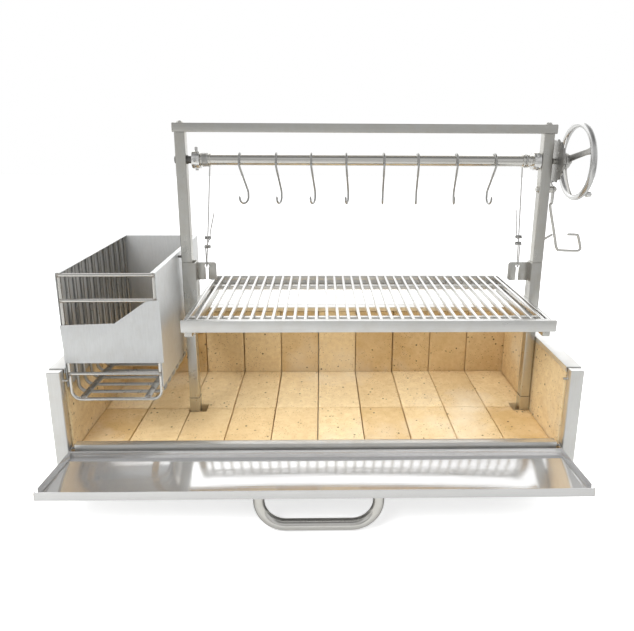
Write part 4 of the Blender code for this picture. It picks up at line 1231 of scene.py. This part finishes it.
for number, (x, twist, lean) in enumerate(zip(HOOK_X, HOOK_TWIST, HOOK_LEAN), start=1):
    route = s_hook(x, twist, lean)
    radii = [WIRE] * len(route)
    radii[0], radii[-1], radii[-2] = WIRE * 0.7, WIRE * 0.22, WIRE * 0.72
    shape = bmesh.new()
    sweep(shape, route, radii, 16)
    node = f"meat_hook_{number}"
    piece(f"s_hook_{number}", shape, "hook", f"hook_{number}", (node,))

# Firewood basket

BASKET_X, BASKET_TOP, PLATE = (-0.573, -0.354), 0.4345, 0.002
ROD, ROD_COUNT, ROD_Y = 0.004, 12, (-0.1975, 0.2195)
ROD_LOW, ROD_BEND, ROD_STRAIGHT_TO = 0.131, 0.022, 0.30
RODS_Y = [ROD_Y[0] + (ROD_Y[1] - ROD_Y[0]) / (ROD_COUNT - 1) * i for i in range(ROD_COUNT)]
LEFT_X, RIGHT_X = BASKET_X[0] + PLATE + ROD + 0.0003, BASKET_X[1] - PLATE - ROD - 0.0003
ROD_TOP = BASKET_TOP - PLATE - 0.0003
SIDE_WELD_Z = 0.166
STRIP_X = (-0.541, -0.393)
STRIP_HALF, STRIP_Z = 0.008, (ROD_LOW + 0.002, ROD_LOW + 0.007)
FRONT_BARS, FRONT_BAR = (0.4285, 0.3700, 0.1950), 0.0038
BASKET_PLATES = {
    "basket_front_plate": "basket_front_sheet",
    "basket_back_plate": "basket_back_sheet",
    "basket_side_left": "basket_left_sheet",
    "basket_side_right": "basket_right_sheet",
}


def basket_rods(rest, front, tacks):
    """U-shaped rods from front to back, the first apart, with tack welds where they touch."""
    corner_z = ROD_LOW + ROD_BEND
    route = [(LEFT_X, ROD_TOP), (LEFT_X, ROD_STRAIGHT_TO)]
    route += arc((LEFT_X + ROD_BEND, corner_z), ROD_BEND, 180, 270, 10)
    route += arc((RIGHT_X - ROD_BEND, corner_z), ROD_BEND, 270, 360, 10)
    route += [(RIGHT_X, ROD_STRAIGHT_TO), (RIGHT_X, ROD_TOP)]
    for i, y in enumerate(RODS_Y):
        sweep(rest if i else front, [(x, y, z) for x, z in route], ROD, 16)
        for x, out in ((LEFT_X, -1), (RIGHT_X, 1)):
            blob(tacks, (x, y + 0.0032, ROD_TOP - 0.001), 0.0042, (1, 1, 0.6))
            blob(tacks, (x + out * 0.0026, y, SIDE_WELD_Z), 0.0034, (0.7, 1.1, 1.2))
        for x in STRIP_X:
            blob(tacks, (x, y, ROD_LOW + 0.0065), 0.0055, (1.2, 0.9, 0.6))


def basket_front(front, tacks):
    """The three level bars across the front."""
    y = ROD_Y[0]
    for z in FRONT_BARS:
        ends = [(x, y - 0.0003, z) for x in (LEFT_X - 0.001, RIGHT_X + 0.001)]
        rod(front, *ends, FRONT_BAR, 18)
        for x in (LEFT_X, RIGHT_X):
            blob(tacks, (x, y - 0.0022, z + 0.0030), 0.0042, (1.1, 0.7, 0.7))
            blob(tacks, (x, y - 0.0022, z - 0.0030), 0.0040, (1.1, 0.7, 0.7))


def basket_strips():
    shape = bmesh.new()
    for x in STRIP_X:
        low = (x - STRIP_HALF, ROD_Y[0] - 0.001, STRIP_Z[0])
        high = (x + STRIP_HALF, ROD_Y[1] + 0.001, STRIP_Z[1])
        bar(shape, low, high, 1, 0.0012)
    piece("basket_floor_strips", shape, "rods", "basket")


def basket():
    rest, front, tacks = bmesh.new(), bmesh.new(), bmesh.new()
    basket_rods(rest, front, tacks)
    # The U-rods take the rod look painted darker, as shade inside the basket.
    piece("basket_bars", rest, "shaded_cage", "basket", ("basket_rods",))
    basket_front(front, tacks)
    piece("basket_front_bars", front, "rods", "basket")
    basket_strips()
    piece("basket_tack_welds", tacks, "weld", "basket", slot="polished_steel", sharp=60)
    for node, name in BASKET_PLATES.items():
        piece(name, worked(node, 0.0005, 20), "basket", "basket", (node,))


basket()

# Studio


SKY = (
    (0.0, 0.50), (0.44, 0.48), (0.50, 0.60), (0.60, 0.68), (0.82, 0.66), (0.92, 0.30), (1.0, 0.24)
)
FLOOR_BANDS = (
    (0.0, 0.85), (0.30, 0.75), (0.36, 0.34), (0.40, 0.34), (0.45, 0.50), (0.55, 0.55), (0.62, 0.95),
    (1.0, 1.0),
)
FLOOR_REACH, FLOOR_DROP = 8, 0.0008


def dimmed(tree, colour, share):
    return put(tree, "VectorMath", {0: colour, 1: share}, operation="MULTIPLY").outputs[0]


def sky():
    """White to the camera. Reflections see greys that change with height, brighter behind."""
    world = bpy.data.worlds.new("studio")
    bpy.context.scene.world = world
    world.use_nodes = True
    tree = world.node_tree
    tree.nodes.clear()
    place = put(tree, "TexCoord").outputs["Generated"]
    axes = put(tree, "SeparateXYZ", {0: place})
    height = greys(tree, spread(tree, axes.outputs["Z"], 0, 1, -1, 1), SKY)
    behind = spread(tree, axes.outputs["Y"], 0.85, 2.3, -0.3, 0.8)
    cloudy = spread(tree, grains(tree, place, 2.2, 1.0), 0.72, 1.22, 0.35, 0.65)
    lit = dimmed(tree, dimmed(tree, height, behind), cloudy)
    seen = put(tree, "LightPath").outputs["Is Camera Ray"]
    colour = mixed(tree, seen, lit, (1.0, 1.0, 1.0))
    glow = put(tree, "Background", {"Color": colour, "Strength": 1.0})
    out = put(tree, "OutputWorld")
    tree.links.new(glow.outputs[0], out.inputs[0])


def softbox(name, at, towards, size, power):
    light = bpy.data.lights.new(name, "AREA")
    light.shape = "RECTANGLE"
    light.size, light.size_y = size
    light.energy = power
    made = bpy.data.objects.new(name, light)
    made.visible_glossy = False
    aim = Vector(towards) - Vector(at)
    made.matrix_world = Matrix.Translation(at) @ aim.to_track_quat("-Z", "Y").to_matrix().to_4x4()
    bpy.context.scene.collection.objects.link(made)


def paper_floor():
    """A white floor. Reflections see it in bands, and darker towards the left."""
    r = FLOOR_REACH
    mesh = bpy.data.meshes.new("floor")
    mesh.from_pydata([(-r, -r, 0), (r, -r, 0), (r, r, 0), (-r, r, 0)], [], [(0, 1, 2, 3)])
    floor = bpy.data.objects.new("floor", mesh)
    floor.location.z = -FLOOR_DROP
    bpy.context.scene.collection.objects.link(floor)
    made, tree, place, shader = new_material("studio_floor")
    pale = mixed(tree, grains(tree, place, 3.0), (0.90, 0.90, 0.90), (0.94, 0.94, 0.94))
    seen = put(tree, "LightPath").outputs["Is Camera Ray"]
    axes = put(tree, "SeparateXYZ", {0: place})
    bands = greys(tree, spread(tree, axes.outputs["Y"], 0, 1, -r, r), FLOOR_BANDS, 0.98)
    unseen = dimmed(tree, bands, spread(tree, axes.outputs["X"], 1.12, 0.84, -1.5, 1.5))
    tree.links.new(mixed(tree, seen, unseen, pale), shader.inputs["Base Color"])
    shader.inputs["Roughness"].default_value = 0.95
    shader.inputs["Emission Color"].default_value = (1, 1, 1, 1)
    glow = spread(tree, seen, 0.05, 0.62, 0, 1)
    tree.links.new(glow, shader.inputs["Emission Strength"])
    mesh.materials.append(made)


sky()
softbox("top_light", (0.2, 0.3, 2.6), (0, 0, 0.3), (2.4, 1.8), 56)
softbox("key_light", (-1.5, -1.9, 2.7), (0.1, 0, 0.2), (1.6, 1.4), 78)
softbox("fill_light", (2.3, -0.8, 2.0), (0, 0, 0.3), (1.0, 1.2), 20)

paper_floor()
bpy.context.scene.view_settings.view_transform = "Standard"
